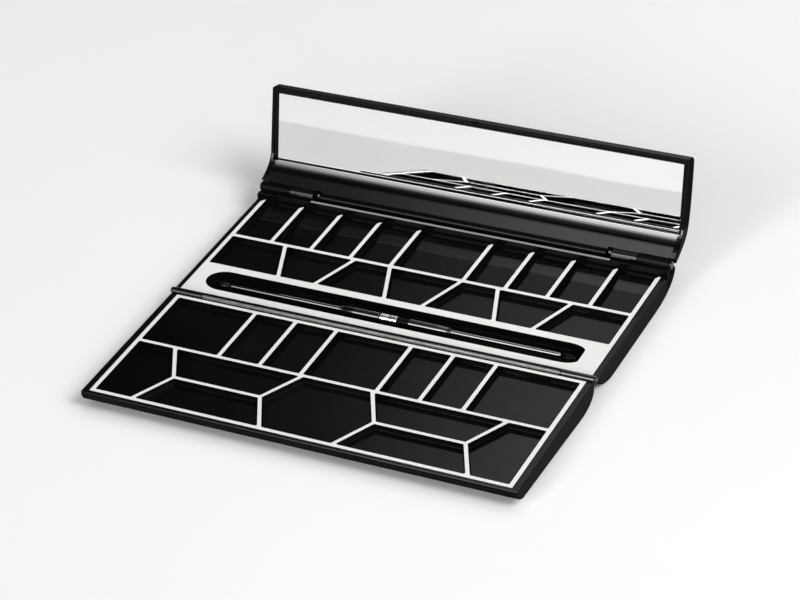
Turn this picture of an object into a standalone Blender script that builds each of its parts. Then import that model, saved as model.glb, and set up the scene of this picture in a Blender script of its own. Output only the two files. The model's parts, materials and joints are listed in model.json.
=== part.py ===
"""Folding paint palette case: a base tray, a front tray that folds over it, and a short mirrored lid.

Units are metres. +X runs along the case, +Y towards the lid hinge, +Z up. The origin is the middle of
the flat underside of the base tray. Measures are given in millimetres and multiplied by MM.
In the profiles below, Y counts from the front edge of the base tray's top plate; SHIFT_Y moves it to
the frame of the part. The lid is drawn upright in its own frame, on its hinge axis, and leans back.
"""

import math

import bmesh
import bpy
from mathutils import Vector

MM = 0.001
GAP = 0.3 * MM

# ---- driving dimensions --------------------------------------------------------------------------
SHIFT_Y = -38.0 * MM                 # from the plate's front edge to the origin

SHELL_HALF = 97.7 * MM               # half length of both tray shells
PLATE_HALF = 95.0 * MM               # half length of the base top plate
FRONT_PLATE_HALF = 94.2 * MM         # half length of the front top plate
RIM = 2.0 * MM                       # width of the plate's strips and dividers
PLATE_THICK = 0.3 * MM
PLATE_GAP = 0.2 * MM                 # between the plate and the top of the well tray

BASE_TOP = 9.3 * MM                  # height of the base plate's upper face
BASE_DEPTH_Y = 74.1 * MM             # rear end of the base plate's dividers
BAR_Y = 44.3 * MM                    # middle of the bar between the base tray's two rows
ROW_FRONT_Y = 21.9 * MM              # front edge of the base tray's second row
REAR_DIVIDERS = [17.15 * MM, 36.4 * MM, 55.6 * MM, 74.85 * MM]
SLANTED_DIVIDERS = [(16.6 * MM, 8.9 * MM), (33.9 * MM, 41.6 * MM), (67.2 * MM, 59.3 * MM)]
REAR_WELL_DEPTH = 3.3 * MM
WELL_DEPTH = 2.8 * MM

TRENCH_Y = (3.9 * MM, 17.8 * MM)     # front and rear edge of the applicator trench
TRENCH_X = (-87.9 * MM, 85.7 * MM)
TRENCH_DEPTH = 4.1 * MM
TRENCH_LEFT_END = 8.6 * MM           # length of the round left end
TRENCH_CORNER = (7.7 * MM, 3.5 * MM)  # length and width of the two corners at the right end
CRADLE_X = (-76.4 * MM, -75.5 * MM)   # low rib across the trench that the left stem rests in
CRADLE_TOP = 7.2 * MM

BACK_WALL_Y = (75.3 * MM, 77.1 * MM)
BACK_WALL_TOP = 11.9 * MM

FRONT_TOP = 8.9 * MM                 # height of the front plate's upper face
FRONT_PLATE_Y = (-77.4 * MM, -4.4 * MM)
FRONT_STRIP = 1.8 * MM
FRONT_BAR_Y = -39.0 * MM
FRONT_MID_Y = -57.8 * MM             # where the front row's pointed wells meet their divider
FRONT_FACE_Y = -79.1 * MM
FRONT_DIVIDERS = [17.2 * MM, 36.3 * MM, 55.5 * MM]
FRONT_WELL_DEPTH = 2.6 * MM

FOLD_AXIS = (-2.45 * MM, 9.35 * MM)  # y and z of the hinge between the two trays
FOLD_BARREL_R = 1.45 * MM
FOLD_PIN_R = 0.5 * MM
FOLD_SPLIT_X = 82.6 * MM             # between the middle barrel and the end knuckles

LID_AXIS = (79.8 * MM, 12.4 * MM)    # y and z of the lid hinge
LID_LEAN = math.radians(15.6)        # how far the open lid leans back from upright
LID_KNUCKLE_R = 2.4 * MM
LID_BARREL_R = 1.6 * MM
LID_PIN_R = 0.8 * MM
LID_SPLIT_X = 82.7 * MM              # between each base knuckle and its lid knuckle
LID_KNUCKLE_IN = 71.3 * MM
LID_HALF = 98.7 * MM
LID_TOP = 43.6 * MM                  # the lid's free edge above its hinge axis
LID_RIM_B = 9.6 * MM                 # front face of the lid's raised rim, behind the hinge axis
LID_BACK_B = 15.7 * MM

MIRROR_HALF = 96.1 * MM
MIRROR_A = (10.2 * MM, 41.1 * MM)
MIRROR_B = 10.97 * MM
MIRROR_THICK = 1.0 * MM
TAPE_THICK = 0.4 * MM

APPLICATOR_Y = 10.85 * MM
APPLICATOR_Z = 7.35 * MM
HANDLE_X = (-23.8 * MM, 27.2 * MM)
HANDLE_R = 1.9 * MM
BAND_X = (-5.1 * MM, 2.8 * MM)
NECK_END_X = 8.1 * MM                # the slimmer neck runs from the band to here
NECK_R = 1.45 * MM
STEM_R = 0.95 * MM
STEM_END = 76.5 * MM
TIP_END = 83.4 * MM
TIP_R = 1.7 * MM

ARC_STEPS = 8


# ---- small helpers -------------------------------------------------------------------------------
def clear_scene():
    for obj in list(bpy.data.objects):
        bpy.data.objects.remove(obj, do_unlink=True)


def make_material(name, colour, roughness, metallic=0.0):
    material = bpy.data.materials.new(name)
    material.use_nodes = True
    shader = material.node_tree.nodes["Principled BSDF"]
    shader.inputs["Base Color"].default_value = (*colour, 1.0)
    shader.inputs["Roughness"].default_value = roughness
    shader.inputs["Metallic"].default_value = metallic
    return material


def mirrored(points):
    """Points of a plan outline, mirrored in X and kept in counter-clockwise order."""
    return [(-x, y) for x, y in reversed(points)]


def arc(centre, radii, start, end, steps=ARC_STEPS, power=2.0):
    """Points on an ellipse, or on a fuller superellipse when power is above 2, angles in degrees."""
    points = []
    for i in range(steps + 1):
        angle = math.radians(start + (end - start) * i / steps)
        cosine = math.cos(angle)
        sine = math.sin(angle)
        u = math.copysign(abs(cosine) ** (2.0 / power), cosine)
        v = math.copysign(abs(sine) ** (2.0 / power), sine)
        points.append((centre[0] + radii[0] * u, centre[1] + radii[1] * v))
    return points


def bezier(p0, p1, p2, p3, steps=ARC_STEPS):
    points = []
    for i in range(steps + 1):
        t = i / steps
        s = 1.0 - t
        weights = (s * s * s, 3 * s * s * t, 3 * s * t * t, t * t * t)
        points.append(tuple(sum(w * p[k] for w, p in zip(weights, (p0, p1, p2, p3))) for k in (0, 1)))
    return points


def finish_mesh(bm, name):
    bmesh.ops.remove_doubles(bm, verts=bm.verts, dist=1e-7)
    bmesh.ops.recalc_face_normals(bm, faces=bm.faces)
    mesh = bpy.data.meshes.new(name)
    bm.to_mesh(mesh)
    bm.free()
    return mesh


def add_loft(bm, rings):
    """Joins closed rings of equal length into a solid with flat ends."""
    loops = [[bm.verts.new(p) for p in ring] for ring in rings]
    count = len(loops[0])
    for low, high in zip(loops, loops[1:]):
        for i in range(count):
            j = (i + 1) % count
            bm.faces.new((low[i], low[j], high[j], high[i]))
    bm.faces.new(list(reversed(loops[0])))
    bm.faces.new(loops[-1])


def add_prism_x(bm, profile, x0, x1, chamfer=0.0):
    """A (y, z) profile run from x0 to x1; chamfer pulls the outline in at both ends."""
    ys = [p[0] for p in profile]
    zs = [p[1] for p in profile]
    cy = (min(ys) + max(ys)) / 2
    cz = (min(zs) + max(zs)) / 2
    sy = 1.0 - 2 * chamfer / (max(ys) - min(ys))
    sz = 1.0 - 2 * chamfer / (max(zs) - min(zs))
    full = [(y, z) for y, z in profile]
    small = [(cy + (y - cy) * sy, cz + (z - cz) * sz) for y, z in profile]
    stations = [(x0, full), (x1, full)]
    if chamfer:
        stations = [(x0, small), (x0 + chamfer, full), (x1 - chamfer, full), (x1, small)]
    add_loft(bm, [[Vector((x, y, z)) for y, z in ring] for x, ring in stations])


def add_prism_z(bm, outline, z0, z1):
    add_loft(bm, [[Vector((x, y, z)) for x, y in outline] for z in (z0, z1)])


def add_turned_x(bm, stations, centre, segments=20, flatten=1.0):
    """A solid turned about a line along X: stations are (x, radius), the first and last above zero."""
    rings = []
    for x, radius in stations:
        ring = []
        for i in range(segments):
            angle = 2 * math.pi * i / segments
            y = centre[0] + radius * math.cos(angle)
            z = centre[1] + radius * math.sin(angle) * flatten
            ring.append(Vector((x, y, z)))
        rings.append(ring)
    add_loft(bm, rings)


def add_object(name, bm, material, origin=(0.0, 0.0, 0.0), smooth=False):
    """Makes a sub-part whose mesh is drawn in plate coordinates and whose origin is at origin."""
    mesh = finish_mesh(bm, name)
    offset = Vector(origin)
    for vertex in mesh.vertices:
        vertex.co -= offset
    mesh.materials.append(material)
    obj = bpy.data.objects.new(name, mesh)
    obj.location = offset + Vector((0.0, SHIFT_Y, 0.0))
    obj["drawn_at"] = origin
    bpy.context.scene.collection.objects.link(obj)
    if smooth:
        mesh.shade_smooth()
        mesh.set_sharp_from_angle(angle=math.radians(35))
    return obj


def combine(target, operation, name, bm):
    """Cuts the solids in bm from target, or joins them to it, with a Boolean modifier.

    The solids are drawn in the coordinates that the target's own mesh was drawn in.
    """
    tool = bpy.data.objects.new(name, finish_mesh(bm, name))
    offset = Vector(target["drawn_at"])
    for vertex in tool.data.vertices:
        vertex.co -= offset
    tool.location = target.location
    tool.rotation_euler = target.rotation_euler
    tool.hide_render = True
    tool.display_type = "WIRE"
    bpy.context.scene.collection.objects.link(tool)
    modifier = target.modifiers.new(name, "BOOLEAN")
    modifier.operation = operation
    modifier.solver = "EXACT"
    modifier.object = tool


# ---- plans of the wells --------------------------------------------------------------------------
def strip_between(left, right, y0, y1):
    """A well between two divider middle lines, each given as its x at y0 and at y1."""
    half = RIM / 2
    return [(left[0] + half, y0), (right[0] - half, y0), (right[1] - half, y1), (left[1] + half, y1)]


def rear_row_wells():
    """The base tray's rear row: four narrow wells, a double one, four narrow wells."""
    y0 = BAR_Y + RIM / 2
    edges = [-PLATE_HALF + RIM / 2] + [-x for x in reversed(REAR_DIVIDERS)]
    edges += REAR_DIVIDERS + [PLATE_HALF - RIM / 2]
    return [strip_between((a, a), (b, b), y0, BASE_DEPTH_Y) for a, b in zip(edges, edges[1:])]


def second_row_wells():
    """The base tray's second row, between slanted dividers."""
    y1 = BAR_Y - RIM / 2
    end = PLATE_HALF - RIM / 2
    lines = [(-end, -end)]
    lines += [(-front, -back) for back, front in reversed(SLANTED_DIVIDERS)]
    lines += [(front, back) for back, front in SLANTED_DIVIDERS]
    lines += [(end, end)]
    return [strip_between(a, b, ROW_FRONT_Y, y1) for a, b in zip(lines, lines[1:])]


def trench_outline(grow=0.0):
    """Counter-clockwise outline of the applicator trench, from its round left end."""
    x0 = TRENCH_X[0] - grow
    x1 = TRENCH_X[1] + grow
    y0 = TRENCH_Y[0] - grow
    y1 = TRENCH_Y[1] + grow
    middle = (y0 + y1) / 2
    half = (y1 - y0) / 2
    left = (x0 + TRENCH_LEFT_END, middle)
    corner_x = x1 - TRENCH_CORNER[0]
    points = arc(left, (TRENCH_LEFT_END, half), 90, 270, 2 * ARC_STEPS)
    points += arc((corner_x, y0 + TRENCH_CORNER[1]), TRENCH_CORNER, 270, 360)
    points += arc((corner_x, y1 - TRENCH_CORNER[1]), TRENCH_CORNER, 0, 90)
    return points


def front_rear_row_wells():
    """The front tray's row beside the hinge: wide, two narrow, medium, two narrow, wide."""
    y0 = FRONT_BAR_Y + FRONT_STRIP / 2
    y1 = FRONT_PLATE_Y[1] - FRONT_STRIP
    end = FRONT_PLATE_HALF - RIM / 2
    edges = [-end] + [-x for x in reversed(FRONT_DIVIDERS)] + FRONT_DIVIDERS + [end]
    return [strip_between((a, a), (b, b), y0, y1) for a, b in zip(edges, edges[1:])]


def front_row_wells():
    """The front tray's outer row: pointed wells at the middle and the ends, paired ones between."""
    half = FRONT_STRIP / 2
    y_back = FRONT_BAR_Y - half
    y_front = FRONT_PLATE_Y[0] + FRONT_STRIP
    end = FRONT_PLATE_HALF - RIM
    inner = 1.05 * MM                       # half width of a slanted strip, measured along X
    centre_back, centre_mid, centre_front = 16.2 * MM, 25.7 * MM, 16.5 * MM
    side_back, side_mid, side_front = 75.1 * MM, 65.6 * MM, 74.7 * MM
    centre = [(centre_front - inner, y_front), (centre_mid - inner, FRONT_MID_Y)]
    centre += [(centre_back - inner, y_back)]
    hexagon = centre + [(-x, y) for x, y in reversed(centre)]
    shift_mid = 0.55 * MM                   # the slanted strip's drift over half the middle divider
    back = [(centre_mid + inner - shift_mid, FRONT_MID_Y + half)]
    back += [(side_mid - inner + shift_mid, FRONT_MID_Y + half)]
    back += [(side_back - inner, y_back), (centre_back + inner, y_back)]
    front = [(centre_front + inner, y_front), (side_front - inner, y_front)]
    front += [(side_mid - inner + shift_mid, FRONT_MID_Y - half)]
    front += [(centre_mid + inner - shift_mid, FRONT_MID_Y - half)]
    side = [(side_front + inner, y_front), (end, y_front), (end, y_back)]
    side += [(side_back + inner, y_back), (side_mid + inner, FRONT_MID_Y)]
    right = [back, front, side]
    return [hexagon] + right + [mirrored(w) for w in right]


# ---- base tray -----------------------------------------------------------------------------------
def base_outer_profile():
    """Side view of the base shell: flat bottom, long edges rounded up, raised wall at the rear."""
    rim_z = BASE_TOP - 0.2 * MM
    front = arc((14.0 * MM, BASE_TOP), (14.75 * MM, BASE_TOP), 180, 270, ARC_STEPS + 2)[1:]
    rear = arc((62.0 * MM, BASE_TOP), (22.0 * MM, BASE_TOP), 270, 360, ARC_STEPS + 2)
    profile = [(-0.75 * MM, rim_z)] + front + rear
    profile += [(BACK_WALL_Y[1], BASE_TOP), (BACK_WALL_Y[1], BACK_WALL_TOP - 0.3 * MM)]
    profile += [(BACK_WALL_Y[1] - 0.3 * MM, BACK_WALL_TOP), (BACK_WALL_Y[0] + 0.3 * MM, BACK_WALL_TOP)]
    profile += [(BACK_WALL_Y[0], BACK_WALL_TOP - 0.3 * MM), (BACK_WALL_Y[0], rim_z)]
    return profile


def base_cavity_profile():
    """The hollow of the base shell, open at the top between its front lip and its rear wall."""
    above = BACK_WALL_TOP + 2.0 * MM
    lip_z = BASE_TOP - 1.0 * MM
    front = [p for p in arc((14.0 * MM, BASE_TOP), (13.3 * MM, 7.8 * MM), 180, 270) if p[1] < lip_z]
    rear = arc((62.0 * MM, BASE_TOP), (20.4 * MM, 7.8 * MM), 270, 346)
    lip_y = -GAP
    rear_y = BACK_WALL_Y[0]
    return [(lip_y, above), (lip_y, lip_z)] + front + rear + [(rear_y, rear[-1][1]), (rear_y, above)]


def base_tray_profile(grow=0.0):
    """Side view of the base well tray: a flange under the plate's front band, then the deep part."""
    top = BASE_TOP - PLATE_THICK - PLATE_GAP + (10.0 * MM if grow else 0.0)
    rear = BACK_WALL_Y[0] - GAP + grow
    flange = 7.2 * MM - grow
    trench = BASE_TOP - TRENCH_DEPTH - 0.9 * MM - grow
    slab = BASE_TOP - REAR_WELL_DEPTH - 0.9 * MM - grow
    front = TRENCH_Y[0] - 0.9 * MM - grow
    trench_rear = TRENCH_Y[1] + 0.9 * MM + grow
    profile = [(0.1 * MM, top), (0.1 * MM, flange), (front, flange), (front, trench + 1.5 * MM)]
    profile += [(front + 1.5 * MM, trench), (trench_rear, trench), (trench_rear, slab)]
    profile += [(rear, slab), (rear, top)]
    return profile


def build_base_shell(material):
    bm = bmesh.new()
    add_prism_x(bm, base_outer_profile(), -SHELL_HALF, SHELL_HALF, chamfer=0.6 * MM)
    shell = add_object("base_shell", bm, material, smooth=True)

    bm = bmesh.new()
    for side in (-1, 1):
        add_knuckle_block(bm, side)
    combine(shell, "UNION", "join_lid_knuckles", bm)

    bm = bmesh.new()
    add_prism_x(bm, base_cavity_profile(), -PLATE_HALF - GAP, PLATE_HALF + GAP)
    combine(shell, "DIFFERENCE", "cut_base_cavity", bm)

    bm = bmesh.new()
    add_prism_x(bm, base_tray_profile(GAP), -PLATE_HALF - GAP, PLATE_HALF + GAP)
    combine(shell, "DIFFERENCE", "cut_tray_seat", bm)

    bm = bmesh.new()
    add_prism_x(bm, barrel_profile(1), -FOLD_SPLIT_X + GAP / 2, FOLD_SPLIT_X - GAP / 2)
    combine(shell, "UNION", "join_fold_barrel", bm)

    bm = bmesh.new()
    for side in (-1, 1):
        add_turned_x(bm, fold_bore_stations(side), FOLD_AXIS, 12)
        add_turned_x(bm, lid_bore_stations(side), LID_AXIS, 16)
    combine(shell, "DIFFERENCE", "cut_base_bores", bm)
    return shell


def barrel_profile(towards):
    """The fold hinge's round barrel with its web; towards is 1 for the base and -1 for the front."""
    y, z = FOLD_AXIS
    reach = 1.9 * MM
    circle = arc((y, z), (FOLD_BARREL_R, FOLD_BARREL_R), 0, 270, 15)
    low = z - FOLD_BARREL_R
    profile = circle + [(y + reach, low), (y + reach, z - 0.4 * MM), (y + FOLD_BARREL_R, z - 0.4 * MM)]
    if towards < 0:
        profile = [(2 * y - p[0], p[1]) for p in reversed(profile)]
    return profile


def add_knuckle_block(bm, side):
    """A base knuckle of the lid hinge, with the cheek that ties it to the shell's end."""
    x0, x1 = sorted((side * (LID_SPLIT_X + GAP / 2), side * (SHELL_HALF - 0.6 * MM)))
    y, z = LID_AXIS
    r = LID_KNUCKLE_R
    profile = arc((y, z), (r, r), 0, 180, 12)
    profile += [(y - r, BASE_TOP - 1.0 * MM), (y + r, BASE_TOP - 1.0 * MM)]
    add_prism_x(bm, profile, x0, x1)


def fold_bore_stations(side):
    """The fold hinge's bore, from inside the middle barrel out through the end knuckle."""
    radius = FOLD_PIN_R + GAP
    ends = sorted((side * (FOLD_SPLIT_X - 8.3 * MM), side * (SHELL_HALF + 1.0 * MM)))
    return [(ends[0], radius), (ends[1], radius)]


def lid_bore_stations(side):
    """The lid hinge's bore, from inside the lid knuckle out through the base knuckle."""
    radius = LID_PIN_R + GAP
    ends = sorted((side * (LID_KNUCKLE_IN + 1.7 * MM), side * (SHELL_HALF + 1.0 * MM)))
    return [(ends[0], radius), (ends[1], radius)]


def build_base_well_tray(material):
    top = BASE_TOP - PLATE_THICK - PLATE_GAP
    bm = bmesh.new()
    add_prism_x(bm, base_tray_profile(), -PLATE_HALF, PLATE_HALF)
    tray = add_object("base_well_tray", bm, material)

    bm = bmesh.new()
    above = top + 1.0 * MM
    for outline in rear_row_wells():
        add_prism_z(bm, outline, BASE_TOP - REAR_WELL_DEPTH, above)
    for outline in second_row_wells():
        add_prism_z(bm, outline, BASE_TOP - WELL_DEPTH, above)
    add_prism_z(bm, trench_outline(), BASE_TOP - TRENCH_DEPTH, above)
    combine(tray, "DIFFERENCE", "cut_base_wells", bm)

    bm = bmesh.new()
    slot = STEM_R + GAP
    floor = BASE_TOP - TRENCH_DEPTH - 0.3 * MM
    front_part = (TRENCH_Y[0] - 0.3 * MM, APPLICATOR_Y - slot)
    rear_part = (APPLICATOR_Y + slot, TRENCH_Y[1] + 0.3 * MM)
    for y0, y1 in (front_part, rear_part):
        outline = [(CRADLE_X[0], y0), (CRADLE_X[1], y0), (CRADLE_X[1], y1), (CRADLE_X[0], y1)]
        add_prism_z(bm, outline, floor, CRADLE_TOP)
    combine(tray, "UNION", "join_cradle", bm)
    return tray


def finger_tips():
    """Small wedges that point the rear ends of the base plate's strips."""
    run = 2.2 * MM
    back = BASE_DEPTH_Y + 0.5 * MM
    middles = [-PLATE_HALF + RIM / 2] + [-x for x in REAR_DIVIDERS]
    middles += REAR_DIVIDERS + [PLATE_HALF - RIM / 2]
    wedges = []
    for x in middles:
        left = x - RIM / 2 - 0.5 * MM
        wedges.append([(left, BASE_DEPTH_Y - run), (x + 0.3 * RIM, back), (left, back)])
    return wedges


def build_base_top_plate(material):
    bottom = BASE_TOP - PLATE_THICK
    bm = bmesh.new()
    outline = [(-PLATE_HALF, 0.0), (PLATE_HALF, 0.0), (PLATE_HALF, BASE_DEPTH_Y), (-PLATE_HALF, BASE_DEPTH_Y)]
    add_prism_z(bm, outline, bottom, BASE_TOP)
    plate = add_object("base_top_plate", bm, material)

    bm = bmesh.new()
    low = bottom - 1.0 * MM
    high = BASE_TOP + 1.0 * MM
    for outline in rear_row_wells():
        outline = outline[:2] + [(x, y + 1.0 * MM) for x, y in outline[2:]]
        add_prism_z(bm, outline, low, high)
    for outline in second_row_wells() + [trench_outline()]:
        add_prism_z(bm, outline, low, high)
    combine(plate, "DIFFERENCE", "cut_base_windows", bm)

    bm = bmesh.new()
    for outline in finger_tips():
        add_prism_z(bm, outline, low, high)
    combine(plate, "DIFFERENCE", "cut_strip_tips", bm)
    return plate


# ---- front tray ----------------------------------------------------------------------------------
def front_outer_profile():
    """Side view of the front shell: thicker at the hinge, thin and rounded at its free edge."""
    nose_r = 3.8 * MM
    nose = (FRONT_FACE_Y + nose_r, 7.2 * MM)
    hinge_y = FOLD_AXIS[0] - FOLD_BARREL_R - 0.25 * MM
    heel = (-17.2 * MM, 8.6 * MM)
    profile = [(FRONT_FACE_Y + 0.3 * MM, FRONT_TOP), (FRONT_FACE_Y, FRONT_TOP - 0.3 * MM)]
    profile += arc(nose, (nose_r, nose_r), 180, 266)
    profile += arc(heel, (hinge_y - heel[0], heel[1] - 0.3 * MM), 270, 358, ARC_STEPS + 2, power=2.3)
    profile += [(hinge_y, FRONT_TOP)]
    return profile


def front_cavity_profile():
    above = FRONT_TOP + 2.0 * MM
    nose_r = 2.6 * MM
    nose = (FRONT_FACE_Y + 3.8 * MM, 7.2 * MM)
    heel = (-17.2 * MM, 8.6 * MM)
    lip_y = FRONT_PLATE_Y[0] - GAP
    rear_y = FRONT_PLATE_Y[1] - 1.3 * MM
    profile = [(lip_y, above), (lip_y, nose[1])]
    profile += [p for p in arc(nose, (nose_r, nose_r), 190, 266) if p[0] > lip_y]
    profile += [p for p in arc(heel, (12.0 * MM, 6.9 * MM), 270, 358, power=2.3) if p[0] < rear_y]
    profile += [(rear_y, 7.0 * MM), (rear_y, above)]
    return profile


def front_tray_profile(grow=0.0):
    """Side view of the front well tray: deep part and a thin flange towards the free edge."""
    top = FRONT_TOP - PLATE_THICK - PLATE_GAP + (10.0 * MM if grow else 0.0)
    slab = FRONT_TOP - FRONT_WELL_DEPTH - 0.8 * MM - grow
    rear = FRONT_PLATE_Y[1] - FRONT_STRIP + 0.5 * MM + grow
    front = FRONT_PLATE_Y[0] + FRONT_STRIP - 0.6 * MM - grow
    flange = 7.3 * MM - grow
    lip = FRONT_PLATE_Y[0] + (0.0 if not grow else -0.1 * MM)
    return [(lip, top), (lip, flange), (front, flange), (front, slab), (rear, slab), (rear, top)]


def build_front_shell(material):
    origin = (0.0, *FOLD_AXIS)
    bm = bmesh.new()
    add_prism_x(bm, front_outer_profile(), -SHELL_HALF, SHELL_HALF, chamfer=0.6 * MM)
    shell = add_object("front_shell", bm, material, origin=origin, smooth=True)

    half = FRONT_PLATE_HALF + GAP
    bm = bmesh.new()
    add_prism_x(bm, front_cavity_profile(), -half, half)
    combine(shell, "DIFFERENCE", "cut_front_cavity", bm)

    bm = bmesh.new()
    add_prism_x(bm, front_tray_profile(GAP), -half, half)
    combine(shell, "DIFFERENCE", "cut_front_tray_seat", bm)

    bm = bmesh.new()
    seat_z = FRONT_TOP - PLATE_THICK - PLATE_GAP
    seat = [(-8.0 * MM, seat_z), (-3.0 * MM, seat_z), (-3.0 * MM, 12.0 * MM), (-8.0 * MM, 12.0 * MM)]
    add_prism_x(bm, seat, -half, half)
    combine(shell, "DIFFERENCE", "cut_front_plate_seat", bm)

    bm = bmesh.new()
    for side in (-1, 1):
        x0, x1 = sorted((side * (FOLD_SPLIT_X + GAP / 2), side * (SHELL_HALF - 0.6 * MM)))
        add_prism_x(bm, barrel_profile(-1), x0, x1)
    combine(shell, "UNION", "join_fold_knuckles", bm)

    bm = bmesh.new()
    for side in (-1, 1):
        add_turned_x(bm, fold_bore_stations(side), FOLD_AXIS, 12)
    combine(shell, "DIFFERENCE", "cut_front_bores", bm)
    return shell


def build_front_well_tray(material):
    bm = bmesh.new()
    add_prism_x(bm, front_tray_profile(), -FRONT_PLATE_HALF, FRONT_PLATE_HALF)
    tray = add_object("front_well_tray", bm, material, origin=(0.0, *FOLD_AXIS))

    bm = bmesh.new()
    for outline in front_rear_row_wells() + front_row_wells():
        add_prism_z(bm, outline, FRONT_TOP - FRONT_WELL_DEPTH, FRONT_TOP + 1.0 * MM)
    combine(tray, "DIFFERENCE", "cut_front_wells", bm)
    return tray


def build_front_top_plate(material):
    half = FRONT_PLATE_HALF
    y0, y1 = FRONT_PLATE_Y
    bm = bmesh.new()
    add_prism_z(bm, [(-half, y0), (half, y0), (half, y1), (-half, y1)], FRONT_TOP - PLATE_THICK, FRONT_TOP)
    plate = add_object("front_top_plate", bm, material, origin=(0.0, *FOLD_AXIS))

    bm = bmesh.new()
    for outline in front_rear_row_wells() + front_row_wells():
        add_prism_z(bm, outline, FRONT_TOP - 2.0 * MM, FRONT_TOP + 1.0 * MM)
    combine(plate, "DIFFERENCE", "cut_front_windows", bm)
    return plate


# ---- lid: b runs back from the hinge axis along local Y, a runs up along local Z ------------------
BAND_LOW = (0.4 * MM, 1.4 * MM)      # flat band above the hinge, lower edge as (b, a)
BAND_HIGH = (5.9 * MM, 5.15 * MM)    # its upper edge, where the cove starts
COVE_TOP = (8.93 * MM, 10.1 * MM)    # top of the lip in front of the mirror's lower edge
POCKET_LOW = 9.6 * MM                # floor of the mirror's pocket, behind the lip
CHEEK_LOW = (0.6 * MM, 2.2 * MM)
CHEEK_HIGH = (8.9 * MM, 10.6 * MM)


def lid_outer_profile():
    """Side view of the lid with its end cheeks, as (b, a)."""
    front = bezier(CHEEK_LOW, (5.0 * MM, 4.9 * MM), (7.8 * MM, 7.6 * MM), CHEEK_HIGH)
    top = [(LID_RIM_B, 12.6 * MM), (LID_RIM_B, LID_TOP - 0.4 * MM), (LID_RIM_B + 0.4 * MM, LID_TOP)]
    top += [(LID_BACK_B - 1.1 * MM, LID_TOP), (LID_BACK_B - 0.3 * MM, LID_TOP - 0.6 * MM)]
    shoulder = (13.9 * MM, 10.6 * MM)
    crown = (LID_BACK_B, LID_TOP - 2.0 * MM)
    back = bezier(crown, (LID_BACK_B + 0.5 * MM, 28.0 * MM), (15.9 * MM, 15.0 * MM), shoulder)
    heel = bezier(shoulder, (12.0 * MM, 6.6 * MM), (8.4 * MM, 4.0 * MM), (3.0 * MM, 0.2 * MM))
    foot = [(1.5 * MM, -0.8 * MM), (0.0, 0.0)]
    return front + top + back + heel[1:] + foot


def cove_cut_profile():
    """Everything in front of the flat band and the cove."""
    cove = bezier(BAND_HIGH, (7.65 * MM, 6.35 * MM), (8.69 * MM, 8.11 * MM), COVE_TOP)
    front = -4.0 * MM
    low = (BAND_LOW[0] - 1.5 * MM, BAND_LOW[1] - 1.0 * MM)
    return [low] + cove + [(front, COVE_TOP[1]), (front, low[1])]


def mirror_pocket_profile():
    back = MIRROR_B + MIRROR_THICK + TAPE_THICK + 1.0 * MM + 4 * GAP
    lip_back = COVE_TOP[0] + 0.8 * MM
    high = LID_TOP - 1.5 * MM
    front = [(0.0, COVE_TOP[1]), (lip_back, COVE_TOP[1]), (lip_back, POCKET_LOW)]
    return front + [(back, POCKET_LOW), (back, high), (0.0, high)]


def add_lid_object(name, bm, material, smooth=False):
    """A lid piece, drawn upright about the hinge axis, hung on the axis and leaned back."""
    mesh = finish_mesh(bm, name)
    mesh.materials.append(material)
    obj = bpy.data.objects.new(name, mesh)
    obj.location = Vector((0.0, LID_AXIS[0] + SHIFT_Y, LID_AXIS[1]))
    obj.rotation_euler = (-LID_LEAN, 0.0, 0.0)
    obj["drawn_at"] = (0.0, 0.0, 0.0)
    bpy.context.scene.collection.objects.link(obj)
    if smooth:
        mesh.shade_smooth()
        mesh.set_sharp_from_angle(angle=math.radians(35))
    return obj


def build_lid_cover(material):
    bm = bmesh.new()
    add_prism_x(bm, lid_outer_profile(), -LID_HALF, LID_HALF, chamfer=0.5 * MM)
    cover = add_lid_object("lid_cover", bm, material, smooth=True)

    bm = bmesh.new()
    add_prism_x(bm, cove_cut_profile(), -MIRROR_HALF, MIRROR_HALF)
    combine(cover, "DIFFERENCE", "cut_cove", bm)

    bm = bmesh.new()
    pocket_half = LID_HALF - 1.4 * MM
    add_prism_x(bm, mirror_pocket_profile(), -pocket_half, pocket_half)
    combine(cover, "DIFFERENCE", "cut_mirror_pocket", bm)

    bm = bmesh.new()
    clearance = LID_KNUCKLE_R + 0.35 * MM
    for side in (-1, 1):
        ends = sorted((side * (LID_SPLIT_X - GAP / 2), side * (LID_HALF + 1.0 * MM)))
        add_turned_x(bm, [(ends[0], clearance), (ends[1], clearance)], (0.0, 0.0), 24)
        ends = sorted((side * (LID_KNUCKLE_IN - GAP), side * (LID_KNUCKLE_IN - 3.0 * MM)))
        add_turned_x(bm, [(ends[0], clearance), (ends[1], clearance)], (0.0, 0.0), 24)
    combine(cover, "DIFFERENCE", "cut_knuckle_room", bm)

    bm = bmesh.new()
    inner = LID_KNUCKLE_IN - 3.0 * MM
    add_turned_x(bm, [(-inner, LID_BARREL_R), (inner, LID_BARREL_R)], (0.0, 0.0), 20)
    for side in (-1, 1):
        ends = sorted((side * (LID_KNUCKLE_IN - GAP), side * (LID_SPLIT_X - GAP / 2)))
        add_turned_x(bm, [(ends[0], LID_KNUCKLE_R), (ends[1], LID_KNUCKLE_R)], (0.0, 0.0), 24)
    combine(cover, "UNION", "join_knuckles", bm)

    bm = bmesh.new()
    for side in (-1, 1):
        add_turned_x(bm, lid_bore_stations(side), (0.0, 0.0), 16)
    combine(cover, "DIFFERENCE", "cut_lid_bores", bm)

    bm = bmesh.new()
    notch = 2.3 * MM
    top = LID_TOP
    wedge = [(-notch, top + 0.2 * MM), (notch, top + 0.2 * MM), (0.0, top - 1.2 * MM)]
    rings = [[Vector((x, b, a)) for x, a in wedge] for b in (LID_RIM_B - 1.0 * MM, LID_RIM_B + 1.2 * MM)]
    add_loft(bm, rings)
    combine(cover, "DIFFERENCE", "cut_thumb_notch", bm)
    return cover


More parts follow.
